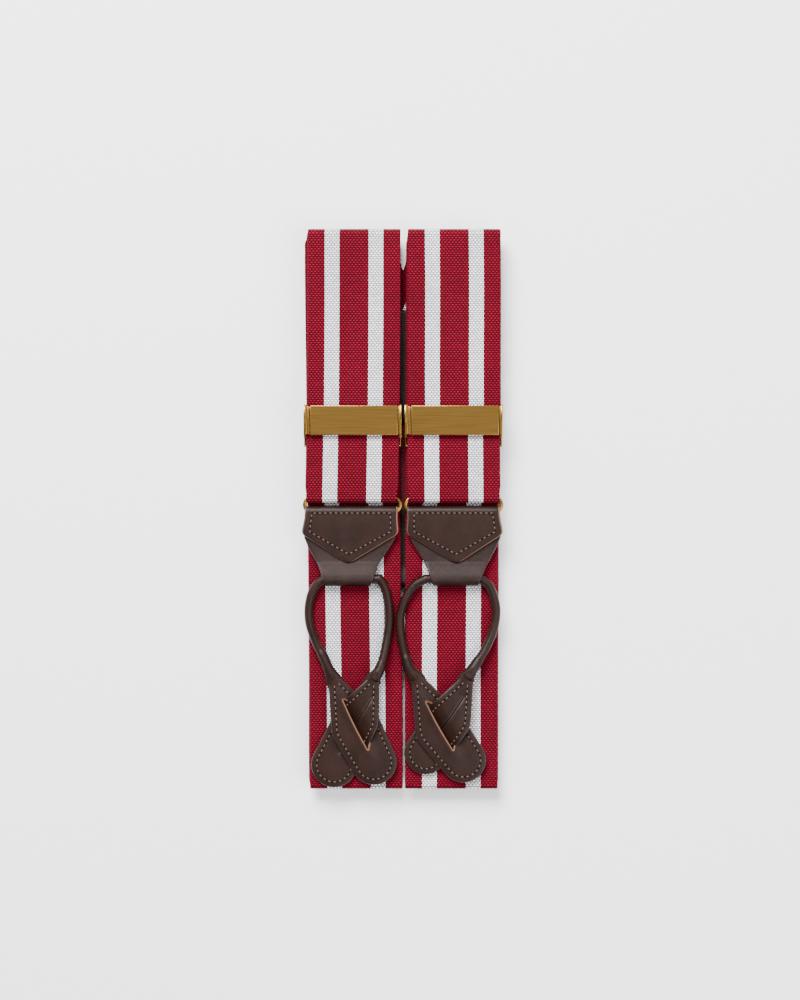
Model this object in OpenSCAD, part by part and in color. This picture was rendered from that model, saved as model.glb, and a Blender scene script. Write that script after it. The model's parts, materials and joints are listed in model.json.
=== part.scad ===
/* [Webbing] */
// Length of the folded pack, fold to fold
pack_l = 239; // [225:1:250]
// Width of each strap
strap_w = 39.6; // [38:0.2:39.8]
// Thickness of the webbing
web_t = 1.1; // [0.9:0.1:1.1]
// Distance from the middle of the pack to the middle of a strap
strap_x = 21.5; // [21.5:0.1:24]

/* [Leather] */
// Thickness of the leather at the flaps and the back patch
leather_t = 1.3; // [1.1:0.1:1.3]
// Thickness of the leather where it is pared to wrap a cord
neck_t = 0.9; // [0.7:0.1:0.9]
// Thickness of one of the two layers of a button tab
tab_t = 0.9; // [0.7:0.1:0.9]
// Diameter of a front rolled cord
cord_d = 3.8; // [3.4:0.1:3.8]
// Diameter of the back rolled cord
back_cord_d = 3.4; // [3:0.1:3.4]
// Width of the leather ends
end_w = 41.2; // [38:0.2:41.4]
// Width of the neck that wraps a cord
neck_w = 19; // [16:0.5:19]

/* [Buttonholes] */
// Diameter of the round end of a buttonhole, for the button's shank
hole_d = 4; // [3:0.1:5]
// Width of the slit of a buttonhole
slit_w = 1.2; // [0.8:0.1:1.6]
// Length of a buttonhole
slit_l = 24; // [20:0.5:26]

/* [Brass] */
// Width of the strap adjuster over its cheeks
adjuster_w = 41.6; // [41.4:0.1:42]
// Height of the adjuster along the strap
adjuster_h = 13; // [12:0.5:15]
// Thickness of the adjuster's side cheeks
cheek_t = 0.7; // [0.5:0.1:0.7]
// Diameter of the wire of the oval end ring
ring_wire = 1.8; // [1.6:0.1:2]
// Length of the oval end ring over the wire
ring_l = 42.6; // [42:0.1:42.8]
// Diameter of the lever's hinge pin
pin_d = 1.2; // [1:0.1:1.4]

/* [Hidden] */

// Sides: the right-hand fitting is a copy of the left-hand one, not its mirror image
left = 0;
right = 1;
side_x = [-strap_x, strap_x];

// Gaps between layers
gap = 0.3;
slip = 0.15;
sliver = 0.05;
far = 60;

// Heights of the middle of each layer, from the table up
patch_z = leather_t + sliver + web_t/2;
right_end_z = patch_z + web_t + sliver;
patch_lining_z = right_end_z + web_t/2 + sliver;
d_z = patch_lining_z + leather_t + 2.5*gap + web_t/2;
c_z = d_z + 1.5;
e_z = d_z - 1.5;
bed_z = c_z + web_t/2 + gap;
ring_z = bed_z + leather_t + slip + ring_wire/2;
a_z = ring_z + ring_wire/2 + slip + web_t/2;
return_z = ring_z - ring_wire/2 - slip - web_t/2;

// Places along the pack, from the bottom fold up
ring_top_y = 124.3;
ring_low_y = 118.4;
split_y = 157;
adjuster_y = 151;
bar_y = 146.5;
bar_z = 10.1;
bar_d = 0.9;
ear_y = 150;
tail_y = 128;
flap_side_y = 114;
flap_tip_y = 97;
flap_corner_y = 109;
lap_y = 111.5;
runner_y = 89.8;
runner_z = bed_z + neck_t + slip/2 + cord_d/2;
runner_l = 20;
patch_low_y = 157;
patch_top_y = 205;
strap_end_y = 172;
back_end_y = 121;
back_runner_y = 88.5;
back_neck_t = neck_t - 0.1;
back_runner_z = back_neck_t + slip/2 + back_cord_d/2;

leather = "#43302b";
lining = "#4f3a33";
crimson = "#9e1b32";
gilt = "#a98a4c";

// Points of an arc in the plane of a profile, from angle a0 to a1
function arc(c, r, a0, a1, n = 8) =
  [for (i = [0:n]) let (a = a0 + (a1 - a0)*i/n) [c[0] + r*cos(a), c[1] + r*sin(a)]];

// Unit normal of a profile line at point i
function normal(p, i) =
  let (d = p[min(i + 1, len(p) - 1)] - p[max(i - 1, 0)]) [-d[1], d[0]]/norm(d);

// Closed outline of a band of thickness t whose middle is the line p
function band(p, t) = concat(
  [for (i = [0:len(p) - 1]) p[i] + normal(p, i)*t/2],
  [for (i = [len(p) - 1:-1:0]) p[i] - normal(p, i)*t/2]);

// Outline of a tongue: a round end of radius r0 at p0, drawn out to one of radius r1 at p1
function tongue(p0, r0, p1, r1, n = 16) =
  let (d = p1 - p0, a = atan2(d[1], d[0]), k = acos((r0 - r1)/norm(d)))
  concat(arc(p1, r1, a - k, a + k, n), arc(p0, r0, a + k, a - k + 360, n));

// Outline round three circles [x, y, r] of a tab: its top, its middle and its paddle
function centre(c) = [c[0], c[1]];
function lean(a, b) = let (d = centre(b) - centre(a)) atan2(d[1], d[0]);
function flare(a, b) = acos((a[2] - b[2])/norm(centre(b) - centre(a)));
function leaf(c, n = 16) =
  let (a = lean(c[0], c[1]), k = flare(c[0], c[1]), b = lean(c[1], c[2]), j = flare(c[1], c[2]))
  concat(arc(centre(c[2]), c[2][2], b - j, b + j, n), arc(centre(c[1]), c[1][2], b + j, a + k, 4),
    arc(centre(c[0]), c[0][2], a + k, a - k + 360, n),
    arc(centre(c[1]), c[1][2], a - k + 360, b - j + 360, 4));

// Everything is drawn with its length counted from the bottom fold, then centred
module centred() { translate([0, -pack_l/2, 0]) children(); }

// A band of leather or webbing of width w about x
module strip(p, t, x, w) {
  translate([x - w/2, 0, 0]) rotate([90, 0, 90]) linear_extrude(w) polygon(band(p, t));
}

// A flat ribbon that follows stations [x, y, z], with its width along x
module ribbon(s, w, t) {
  n = len(s);
  yz = [for (q = s) [q[1], q[2]]];
  pts = [for (i = [0:n - 1]) let (m = normal(yz, i)*t/2)
    for (c = [[-1, -1], [1, -1], [1, 1], [-1, 1]])
      [s[i][0] + c[0]*w/2, s[i][1] + c[1]*m[0], s[i][2] + c[1]*m[1]]];
  polyhedron(pts, concat([[0, 1, 2, 3]],
    [for (i = [0:n - 2], k = [0:3])
      [4*i + k, 4*i + 4 + k, 4*i + 4 + (k + 1)%4, 4*i + (k + 1)%4]],
    [[for (k = [3:-1:0]) 4*(n - 1) + k]]));
}

// A round tube that follows a list of points
module tube(p, d, sides = 8) {
  n = len(p);
  rings = [for (i = [0:n - 1])
    let (u = p[min(i + 1, n - 1)] - p[max(i - 1, 0)], t = u/norm(u),
      s = cross([0, 0, 1], t), e = s/norm(s), f = cross(t, e))
    for (k = [0:sides - 1]) p[i] + (e*cos(360*k/sides) + f*sin(360*k/sides))*d/2];
  polyhedron(rings, concat([[for (k = [0:sides - 1]) k]],
    [for (i = [0:n - 2], k = [0:sides - 1]) let (a = i*sides + k, b = i*sides + (k + 1)%sides)
      [a, a + sides, b + sides, b]],
    [[for (k = [sides - 1:-1:0]) (n - 1)*sides + k]]));
}

// A smooth line through hand-chosen points (Catmull-Rom)
function spline(p, steps = 2) = concat([for (i = [0:len(p) - 2], k = [0:steps - 1])
  let (a = p[max(i - 1, 0)], b = p[i], c = p[i + 1], d = p[min(i + 2, len(p) - 1)], t = k/steps)
  (2*b + (c - a)*t + (2*a - 5*b + 4*c - d)*t*t + (3*b - a - 3*c + d)*t*t*t)/2],
  [p[len(p) - 1]]);

// ---- Straps ----

// Stations of a strap: front layer, top fold, middle layer, bottom fold, back layer,
// inner fold, then the run that leans in to the back patch
fold_r = (a_z - c_z)/2;
small_r = (c_z - d_z)/2;
function strap_line(s) = let (
    x = side_x[s], sign = s == left ? -1 : 1,
    end_z = s == left ? patch_z : right_end_z,
    top = arc([pack_l - web_t/2 - fold_r, (a_z + c_z)/2], fold_r, 90, -90),
    low = arc([web_t/2 + small_r, (c_z + d_z)/2], small_r, 90, 270),
    inner = arc([pack_l - 2 - web_t/2, (d_z + e_z)/2], small_r, 90, -90))
  concat([[x, split_y + gap, a_z]], [for (q = top) [x, q[0], q[1]]],
    [for (q = low) [x, q[0], q[1]]], [for (q = inner) [x, q[0], q[1]]],
    // The straps settle one above the other before they start to lean in
    [[x, 235.5, e_z], [sign*21.2, 226, end_z], [sign*20.4, 223, end_z],
     [sign*11.4, 203, end_z], [sign*10.5, 198, end_z], [sign*8, strap_end_y, end_z]]);

module strap(s) {
  color(crimson) centred() ribbon(strap_line(s), strap_w, web_t);
}

// The doubled run between adjuster and ring: down the front, round the ring's upper bar,
// up behind, round the adjuster's bar, and the sewn tail
run_line = concat([[split_y, a_z]],
  arc([ring_top_y, ring_z], ring_wire/2 + slip + web_t/2, 90, 270),
  [[ring_top_y + 8, return_z]],
  arc([bar_y, bar_z], bar_d/2 + slip + web_t/2, -90, 90),
  [[bar_y - 4, bar_z + 0.9], [bar_y - 8, return_z + web_t + sliver],
   [tail_y, return_z + web_t + sliver]]);

// The run is drawn in a little where it passes between the ring's ends
ring_inset = 0.4;
module strap_run(s) {
  w = strap_w/2;
  color(crimson) centred() intersection() {
    strip(run_line, web_t, side_x[s], strap_w);
    translate([side_x[s], 0, 0]) linear_extrude(far) polygon([
      [-w + ring_inset, ring_low_y], [w - ring_inset, ring_low_y], [w - ring_inset, ring_top_y + 1],
      [w, tail_y], [w, split_y + 1], [-w, split_y + 1], [-w, tail_y],
      [-w + ring_inset, ring_top_y + 1]]);
  }
}

// ---- Brass adjusters ----

base_z = a_z - web_t/2 - gap;
base_t = 0.9;
ear_w = 1.5;
knuckle_r = 1.15;
pivot_y = adjuster_y + adjuster_h - 1.6;
pivot_z = a_z + web_t/2 + gap + knuckle_r;
lever_w = adjuster_w - 2*cheek_t - 0.6;
lever_t = 0.9;

// Base plate behind the strap, with two cheeks that hold the lever's pin
module adjuster_frame(s) {
  color(gilt) centred() translate([side_x[s], 0, 0]) difference() {
    union() {
      translate([-adjuster_w/2, adjuster_y, base_z - base_t]) cube([adjuster_w, adjuster_h, base_t]);
      for (e = [-1, 1]) translate([e*(adjuster_w/2 - cheek_t/2) - cheek_t/2, 0, 0])
        rotate([90, 0, 90]) linear_extrude(cheek_t) polygon([
          [adjuster_y, base_z - base_t], [adjuster_y + adjuster_h, base_z - base_t],
          [adjuster_y + adjuster_h, pivot_z + 0.6], [adjuster_y + adjuster_h - 0.6, pivot_z + 1.1],
          [adjuster_y + 6, pivot_z + 1.1], [adjuster_y + 3, pivot_z + 0.2], [adjuster_y, pivot_z - 0.6]]);
      // Ears that the rear loop is brazed to
      for (e = [-1, 1]) translate([e*(adjuster_w/2 - ear_w/2) - ear_w/2, ear_y, bar_z - 0.6])
        cube([ear_w, 3, base_z - bar_z + 0.6]);
    }
    translate([-far/2, pivot_y, pivot_z]) rotate([0, 90, 0]) cylinder(d = pin_d + 0.04, h = far, $fn = 32);
  }
}

module adjuster_pin(s) {
  color(gilt) centred() translate([side_x[s] - adjuster_w/2 - 0.1, pivot_y, pivot_z])
    rotate([0, 90, 0]) cylinder(d = pin_d, h = adjuster_w + 0.2, $fn = 32);
}

// Lever: a knuckle round the pin and the flat front plate that hides the works
module adjuster_lever(s) {
  plate_top = pivot_z + knuckle_r;
  color(gilt) centred() translate([side_x[s], 0, 0]) difference() {
    union() {
      translate([-lever_w/2, pivot_y, pivot_z]) rotate([0, 90, 0])
        cylinder(r = knuckle_r, h = lever_w, $fn = 40);
      translate([-lever_w/2, 0, 0]) rotate([90, 0, 90]) linear_extrude(lever_w) polygon([
        [pivot_y, plate_top], [adjuster_y + 1, plate_top], [adjuster_y + 0.2, plate_top - 0.4],
        [adjuster_y, plate_top - lever_t], [pivot_y, plate_top - lever_t]]);
    }
    translate([-far/2, pivot_y, pivot_z]) rotate([0, 90, 0])
      cylinder(d = pin_d + 0.1, h = far, $fn = 32);
  }
}

// Rear wire loop that the strap's end is sewn round
module adjuster_loop(s) {
  x = adjuster_w/2 - bar_d/2 - 0.05;
  color(gilt) centred() translate([side_x[s], 0, 0]) union() {
    translate([-x, bar_y, bar_z]) rotate([0, 90, 0]) cylinder(d = bar_d, h = 2*x, $fn = 24);
    for (e = [-1, 1]) {
      translate([e*x, bar_y, bar_z]) sphere(d = bar_d, $fn = 24);
      translate([e*x, bar_y, bar_z]) rotate([-90, 0, 0])
        cylinder(d = bar_d, h = ear_y - bar_y, $fn = 24);
    }
  }
}

// ---- End rings and leather ends ----

// Oblong wire ring: four bars and four quarter-round corners
ring_corner_r = 1;
module end_ring(s) {
  y = (ring_top_y - ring_low_y)/2 - ring_corner_r;
  x = ring_l/2 - ring_wire/2 - ring_corner_r;
  mid_y = (ring_top_y + ring_low_y)/2;
  color(gilt) centred() translate([side_x[s], mid_y, ring_z]) union() {
    for (e = [-1, 1]) {
      translate([-x, e*(y + ring_corner_r), 0]) rotate([0, 90, 0])
        cylinder(d = ring_wire, h = 2*x, $fn = 32);
      translate([e*(x + ring_corner_r), -y, 0]) rotate([-90, 0, 0])
        cylinder(d = ring_wire, h = 2*y, $fn = 32);
    }
    for (k = [0:3]) translate([(k == 0 || k == 3 ? x : -x), (k < 2 ? y : -y), 0])
      rotate([0, 0, 90*k]) rotate_extrude(angle = 90, $fn = 48)
        translate([ring_corner_r, 0]) circle(d = ring_wire, $fn = 32);
  }
}

// Front flap, folded round the ring's lower bar
flap_r = ring_wire/2 + slip + leather_t/2;
flap_line = concat([[flap_tip_y - 1, ring_z + flap_r]],
  arc([ring_low_y, ring_z], flap_r, 90, -90), [[lap_y, ring_z - flap_r]]);
flap_top_y = ring_low_y + flap_r + leather_t/2;

module flap_outline(x) {
  translate([x, 0, 0]) linear_extrude(far) polygon([
    [-end_w/2 + 1.8, flap_top_y + 1], [end_w/2 - 1.8, flap_top_y + 1],
    [end_w/2 - 1.2, flap_side_y], [end_w/2 - 0.2, flap_corner_y + 0.6], [end_w/2 - 1, flap_corner_y - 0.6],
    [1.4, flap_tip_y + 0.3], [0, flap_tip_y], [-1.4, flap_tip_y + 0.3],
    [-end_w/2 + 1, flap_corner_y - 0.6], [-end_w/2 + 0.2, flap_corner_y + 0.6],
    [-end_w/2 + 1.2, flap_side_y]]);
}

module end_flap(s) {
  color(leather) centred() intersection() {
    strip(flap_line, leather_t, side_x[s], end_w);
    flap_outline(side_x[s]);
  }
}

// Back leather: it tapers to the neck, wraps the cord and goes back up under the flap
wrap_r = cord_d/2 + slip/2 + neck_t/2;
end_back_line = concat([[lap_y - gap, bed_z + neck_t/2]],
  arc([runner_y, runner_z], wrap_r, 270, 90, 14),
  [[runner_y + 2.5, runner_z + wrap_r - 0.5], [runner_y + 5, runner_z + wrap_r - 1.7],
   [flap_tip_y, ring_z + ring_wire/2 - 0.6], [lap_y, ring_z + ring_wire/2 - 0.6]]);

// How far below the underside the outline starts, so that it shares no plane with a lining
trim_below = 1;

module neck_outline(x, top_y, taper_y, low_y) {
  translate([x, 0, -trim_below]) linear_extrude(far) polygon([
    [-end_w/2 + 1.2, top_y], [end_w/2 - 1.2, top_y], [end_w/2 - 1.8, taper_y],
    [neck_w/2 + 3.3, taper_y - 10.8], [neck_w/2 + 0.7, taper_y - 14.3], [neck_w/2 - 0.5, low_y],
    [-neck_w/2 + 0.5, low_y], [-neck_w/2 - 0.7, taper_y - 14.3],
    [-neck_w/2 - 3.3, taper_y - 10.8], [-end_w/2 + 1.8, taper_y]]);
}

module end_back(s) {
  color(lining) centred() intersection() {
    strip(end_back_line, neck_t, side_x[s], end_w);
    neck_outline(side_x[s], lap_y + 1, flap_corner_y - 1, runner_y - wrap_r - 2);
  }
}

// ---- Rolled cords and button tabs ----

// Heights of the three levels at which the crossed tabs lie
low_z = bed_z;
mid_z = low_z + 2*tab_t + gap;
high_z = mid_z + 2*tab_t + gap;
lay_z = bed_z + cord_d/2;

// Route of each front cord, from its front tab, up and through the neck, down to its rear tab
cord_route = [
  [[-29.8, 47.4, mid_z + tab_t], [-31.6, 51, mid_z + tab_t], [-33.9, 56.5, lay_z + 0.6],
   [-37, 62.5, lay_z], [-39.6, 70, lay_z], [-40.2, 76.5, lay_z], [-39.2, 82.6, lay_z + 0.2],
   [-36.8, 87.2, runner_z - 0.4], [-33.4, runner_y, runner_z], [-31.9, runner_y, runner_z],
   [-26.5, runner_y, runner_z], [-21.5, runner_y, runner_z], [-16.5, runner_y, runner_z],
   [-11.1, runner_y, runner_z], [-9.8, runner_y - 0.2, runner_z], [-7.6, 85.5, runner_z - 0.5],
   [-6.3, 79, lay_z + 0.1], [-6, 72, lay_z], [-6.7, 65, lay_z + 0.3], [-8, 58, lay_z + 1.5],
   [-9.7, 52, high_z + 0.4], [-11, 49.5, high_z + tab_t], [-12.6, 47.4, high_z + tab_t]],
  [[5.6, 47.6, mid_z + tab_t], [3, 51, mid_z + tab_t], [1.6, 55, lay_z + 0.6], [0.2, 60, lay_z],
   [-1.1, 67, lay_z], [-1.2, 74, lay_z], [0.9, 81, lay_z + 0.2], [4.6, 86.8, runner_z - 0.4],
   [9.4, runner_y - 0.2, runner_z], [11.1, runner_y, runner_z], [16.5, runner_y, runner_z],
   [21.5, runner_y, runner_z], [26.5, runner_y, runner_z], [31.9, runner_y, runner_z],
   [33.4, runner_y - 0.2, runner_z], [36.9, 86.6, runner_z - 0.4], [39.2, 80, lay_z + 0.2],
   [39.6, 74, lay_z], [38, 66.5, lay_z + 0.2], [34.8, 59.5, lay_z + 1.2], [31, 53.5, high_z + 0.4],
   [29, 50.6, high_z + tab_t], [27.2, 48, high_z + tab_t]]];

// Each front tab hangs from the first end of its cord, and each rear tab from the last:
// circles [x, y, r] of top, middle and paddle, bent by the way that the pair is crossed
front_tab = [
  [[-28.2, 44.5, 3.4], [-20, 26.5, 10.6], [-12.4, 11.8, 9.8]],
  [[7, 44.8, 3.4], [15.6, 26.3, 10.6], [25.8, 12.6, 9.6]]];
rear_tab = [
  [[-13.4, 44.6, 3.3], [-19.8, 30, 9.5], [-29.4, 10.6, 9.8]],
  [[26.4, 45, 3.4], [19.2, 30, 9.6], [9.7, 15.6, 9.2]]];

// Ends of each buttonhole: the front one is spread open by the rear tab in it
front_slit = [[[-24, 37.6], [-13.8, 18.6]], [[11.3, 36.9], [22.4, 18.4]]];
rear_slit = [[[-13.6, 38.4], [-27.2, 15.8]], [[25.2, 38.8], [12.6, 19.8]]];
open_r = 2.4;

// The cord's straight part in the neck is truly round; its ends are coped to the tabs
module cord(s) {
  color(leather) centred() difference() {
    union() {
      tube(spline(cord_route[s]), cord_d);
      runner(side_x[s], runner_y, runner_z, runner_l, cord_d);
    }
    tab_top(front_tab[s][0]);
    tab_top(rear_tab[s][0]);
  }
}

// A straight round cord across the pack, a hair fuller than the tube that it covers
module runner(x, y, z, l, d) {
  translate([x - l/2, y, z]) rotate([0, 90, 0]) cylinder(d = d + sliver, h = l, $fn = 48);
}

// Room for the round top of a tab at the end of a cord
module tab_top(c) {
  translate([c[0], c[1], -1]) cylinder(r = c[2] + sliver, h = far, $fn = 64);
}

// A buttonhole between two points
module buttonhole(ends, r) {
  translate([0, 0, -1]) linear_extrude(far) polygon(tongue(ends[0], r, ends[1], r, 12));
}

// One layer of the front tab
module front_tab_layer(s, z) {
  translate([0, 0, z]) difference() {
    linear_extrude(tab_t) polygon(leaf(front_tab[s]));
    buttonhole(front_slit[s], open_r);
  }
}

module front_tab_face(s) {
  color(leather) centred() front_tab_layer(s, mid_z + tab_t);
}

module front_tab_lining(s) {
  color(lining) centred() front_tab_layer(s, mid_z);
}

// One layer of the rear tab: it lies over the right-hand limb of the front tab, dives
// through the open slit, and lies under the left-hand limb. lift raises the face on the lining
dive = 1.35;
dive_ease = 0.8;
module rear_tab_layer(s, lift) {
  low = low_z + tab_t/2 + lift;
  high = high_z + tab_t/2 + lift;
  shift = lift > 0 ? -gap : gap;
  steps = [[-far, low], [shift - dive - dive_ease, low], [shift - dive, low + gap],
    [shift + dive, high - gap], [shift + dive + dive_ease, high], [far, high]];
  mid = (front_slit[s][0] + front_slit[s][1])/2;
  d = front_slit[s][1] - front_slit[s][0];
  difference() {
    intersection() {
      linear_extrude(far) polygon(leaf(rear_tab[s]));
      translate([mid[0], mid[1], 0]) rotate(atan2(d[1], d[0]) + 90) translate([0, far, 0])
        rotate([90, 0, 0]) linear_extrude(2*far) polygon(band(steps, tab_t));
    }
    buttonhole(rear_slit[s], slit_w/2);
  }
}

module rear_tab_face(s) {
  color(leather) centred() rear_tab_layer(s, tab_t);
}

module rear_tab_lining(s) {
  color(lining) centred() rear_tab_layer(s, 0);
}

// ---- Back patch, elastic and back end ----

module patch_outline() {
  polygon(concat([[-18, patch_low_y]], [[18, patch_low_y], [21, patch_low_y + 3]],
    [[30, patch_top_y - 4], [27, patch_top_y]], [[3, patch_top_y - 5], [-3, patch_top_y - 5]],
    [[-27, patch_top_y], [-30, patch_top_y - 4]], [[-21, patch_low_y + 3]]));
}

module patch_face() {
  color(leather) centred() linear_extrude(leather_t) patch_outline();
}

module patch_lining() {
  color(lining) centred() translate([0, 0, patch_lining_z]) linear_extrude(leather_t) patch_outline();
}

// Elastic: it is sewn in for the same depth under the patch and in the back end
elastic_w = 35.6;
sewn_in = 12;
module back_elastic() {
  color(crimson) centred() translate([-elastic_w/2, back_end_y - sewn_in, patch_z - web_t/2])
    cube([elastic_w, patch_low_y - back_end_y + 2*sewn_in, web_t]);
}

module back_end_face() {
  color(leather) centred() linear_extrude(leather_t) polygon([
    [-18, back_end_y], [18, back_end_y], [19.5, back_end_y - 1.5], [19.5, back_end_y - 11],
    [18.6, back_end_y - 12.2], [1.4, back_end_y - 23.7], [0, back_end_y - 24], [-1.4, back_end_y - 23.7],
    [-18.6, back_end_y - 12.2], [-19.5, back_end_y - 11], [-19.5, back_end_y - 1.5]]);
}

// Lining of the back end: above the elastic, then round the back cord and under it
back_wrap_r = back_cord_d/2 + slip/2 + back_neck_t/2;
back_lining_z = patch_z + web_t/2 + sliver + back_neck_t/2;
back_lining_line = concat([[back_end_y, back_lining_z], [back_runner_y + 6, back_lining_z],
  [back_runner_y + 2.5, back_runner_z + back_wrap_r - 0.5]],
  arc([back_runner_y, back_runner_z], back_wrap_r, 90, 270, 14),
  [[back_end_y - 24.6, back_neck_t/2]]);

module back_end_lining() {
  color(lining) centred() intersection() {
    strip(back_lining_line, back_neck_t, 0, end_w);
    neck_outline(0, back_end_y - 0.5, back_end_y - 14, back_runner_y - back_wrap_r - 2);
  }
}

// Route of the right half of the back cord, from its tab up to the middle of the neck
back_lay_z = back_cord_d/2 + 0.1;
back_half_route = [
  [13, 41, back_lay_z], [14.5, 46, back_lay_z], [16.5, 53, back_lay_z], [18.2, 61, back_lay_z],
  [18.6, 69, back_lay_z], [17.6, 77, back_lay_z], [16, 82.5, back_lay_z + 0.3],
  [13.8, 86.8, back_runner_z], [11.6, back_runner_y, back_runner_z],
  [10.3, back_runner_y, back_runner_z], [5, back_runner_y, back_runner_z]];
back_cord_route = concat([for (q = back_half_route) [-q[0], q[1], q[2]]],
  [[0, back_runner_y, back_runner_z]],
  [for (i = [len(back_half_route) - 1:-1:0]) back_half_route[i]]);

module back_cord() {
  color(leather) centred() difference() {
    union() {
      tube(spline(back_cord_route), back_cord_d);
      runner(0, back_runner_y, back_runner_z, runner_l, back_cord_d);
    }
    for (e = [-1, 1]) tab_top([e*back_top[0], back_top[1], back_top_r]);
  }
}

// One layer of a back tab, with its keyhole buttonhole open
back_top = [12.8, 36.2];
back_top_r = 4.6;
back_paddle = [11.5, 13];
paddle_r = 9.8;
module back_tab_layer(e, z) {
  p0 = [e*back_top[0], back_top[1]];
  p1 = [e*back_paddle[0], back_paddle[1]];
  d = (p0 - p1)/norm(p0 - p1);
  translate([0, 0, z]) difference() {
    linear_extrude(tab_t) polygon(tongue(p0, back_top_r, p1, paddle_r));
    translate([p1[0], p1[1], -1]) cylinder(d = hole_d, h = far, $fn = 40);
    buttonhole([p1, p1 + d*(slit_l - 3)], slit_w/2);
  }
}

module back_tab_face(e) {
  color(leather) centred() back_tab_layer(e, 0);
}

module back_tab_lining(e) {
  color(lining) centred() back_tab_layer(e, tab_t);
}

strap(left);  // strap_left
strap(right);  // strap_right
strap_run(left);  // strap_run_left
strap_run(right);  // strap_run_right
adjuster_frame(left);  // adjuster_frame_left
adjuster_frame(right);  // adjuster_frame_right
adjuster_pin(left);  // adjuster_pin_left
adjuster_pin(right);  // adjuster_pin_right
adjuster_lever(left);  // adjuster_lever_left
adjuster_lever(right);  // adjuster_lever_right
adjuster_loop(left);  // adjuster_loop_left
adjuster_loop(right);  // adjuster_loop_right
end_ring(left);  // end_ring_left
end_ring(right);  // end_ring_right
end_flap(left);  // end_flap_left
end_flap(right);  // end_flap_right
end_back(left);  // end_back_left
end_back(right);  // end_back_right
cord(left);  // cord_left
cord(right);  // cord_right
front_tab_face(left);  // front_tab_face_left
front_tab_face(right);  // front_tab_face_right
front_tab_lining(left);  // front_tab_lining_left
front_tab_lining(right);  // front_tab_lining_right
rear_tab_face(left);  // rear_tab_face_left
rear_tab_face(right);  // rear_tab_face_right
rear_tab_lining(left);  // rear_tab_lining_left
rear_tab_lining(right);  // rear_tab_lining_right
patch_face();
patch_lining();
back_elastic();
back_end_face();
back_end_lining();
back_cord();
back_tab_face(-1);  // back_tab_left_face
back_tab_lining(-1);  // back_tab_left_lining
back_tab_face(1);  // back_tab_right_face
back_tab_lining(1);  // back_tab_right_lining
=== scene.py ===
"""Suspenders, folded flat: striped webbing, brass adjusters, leather ends, rolled cords and crossed tabs."""
import json
import math

import bmesh
import bpy
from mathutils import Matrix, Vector, noise
from mathutils.bvhtree import BVHTree


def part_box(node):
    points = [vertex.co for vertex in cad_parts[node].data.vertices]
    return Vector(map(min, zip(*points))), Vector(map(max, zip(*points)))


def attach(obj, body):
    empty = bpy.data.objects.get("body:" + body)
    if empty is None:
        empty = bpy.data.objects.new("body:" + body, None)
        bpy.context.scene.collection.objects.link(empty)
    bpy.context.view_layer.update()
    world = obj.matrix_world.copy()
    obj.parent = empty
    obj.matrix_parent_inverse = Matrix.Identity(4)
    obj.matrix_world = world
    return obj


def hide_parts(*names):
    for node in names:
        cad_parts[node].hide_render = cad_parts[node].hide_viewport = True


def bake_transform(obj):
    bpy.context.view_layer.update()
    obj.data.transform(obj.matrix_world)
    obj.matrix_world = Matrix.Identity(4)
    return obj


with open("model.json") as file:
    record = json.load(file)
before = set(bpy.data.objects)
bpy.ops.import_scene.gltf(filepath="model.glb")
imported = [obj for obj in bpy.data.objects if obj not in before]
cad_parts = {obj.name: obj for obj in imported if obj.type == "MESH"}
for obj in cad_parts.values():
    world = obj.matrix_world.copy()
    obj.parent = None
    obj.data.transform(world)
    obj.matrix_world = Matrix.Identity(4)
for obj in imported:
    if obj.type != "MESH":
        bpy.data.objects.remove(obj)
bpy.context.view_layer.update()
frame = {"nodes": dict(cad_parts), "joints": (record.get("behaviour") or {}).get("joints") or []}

bl_info = {
    "name": "Folded suspenders",
    "version": (1, 0, 0),
    "blender": (4, 5, 0),
    "location": "3D View > Sidebar > Suspenders",
    "description": "Builds a folded pair of button-on suspenders around its frame",
    "category": "Object",
}

MM = 0.001
SIDES = ("left", "right")
JOINTS = {joint["name"]: joint for joint in frame["joints"]}


def box_mm(node):
    """The lowest and highest corners of a frame node, in millimetres."""
    low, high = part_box(node)
    return [c / MM for c in low], [c / MM for c in high]


def pivot_mm(joint):
    """The place of a hinge, in millimetres."""
    return [c / MM for c in JOINTS[joint]["pos_m"]]


# Radius of the ring's wire and of the adjuster's rear loop, and the air round them, in millimetres
WIRE_R, BAR_R, WIRE_GAP = 0.9, 0.45, 0.15

# Heights and places that every piece is built from, in millimetres, all taken from the frame
STRAP_LOW, STRAP_HIGH = box_mm("strap_left")
FOLD_Y = STRAP_LOW[1]
PACK_L = STRAP_HIGH[1] - STRAP_LOW[1]
SIDE_X = {side: pivot_mm("end_pivot_" + side)[0] for side in SIDES}
RING_Y, RING_Z = pivot_mm("end_pivot_left")[1:]
RUNNER_Y, RUNNER_Z = pivot_mm("loop_pivot_left")[1:]
BACK_RUNNER_Y, BACK_RUNNER_Z = pivot_mm("back_loop_pivot")[1:]
RING_TOP_Y = box_mm("end_ring_left")[1][1] - WIRE_R
BAR_Y = box_mm("adjuster_loop_left")[0][1] + BAR_R
BAR_Z = box_mm("adjuster_loop_left")[0][2] + BAR_R
TAB_T = box_mm("back_tab_left_face")[1][2]
BED_Z = box_mm("rear_tab_lining_left")[0][2]
MID_Z = box_mm("front_tab_lining_left")[0][2]
PATCH_LOW, PATCH_HIGH = box_mm("patch_face")
BACK_LOW, BACK_HIGH = box_mm("back_end_face")


def up(y):
    """A distance above the bottom fold as a place along Y."""
    return FOLD_Y + y


# ---- Sizes and colours that a user would change ----

def length_prop(name, description, default_mm, low=0.05, high=300.0):
    return bpy.props.FloatProperty(
        name=name, description=description, default=default_mm * MM, min=low * MM, max=high * MM,
        unit="LENGTH", subtype="DISTANCE", precision=5)


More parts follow.
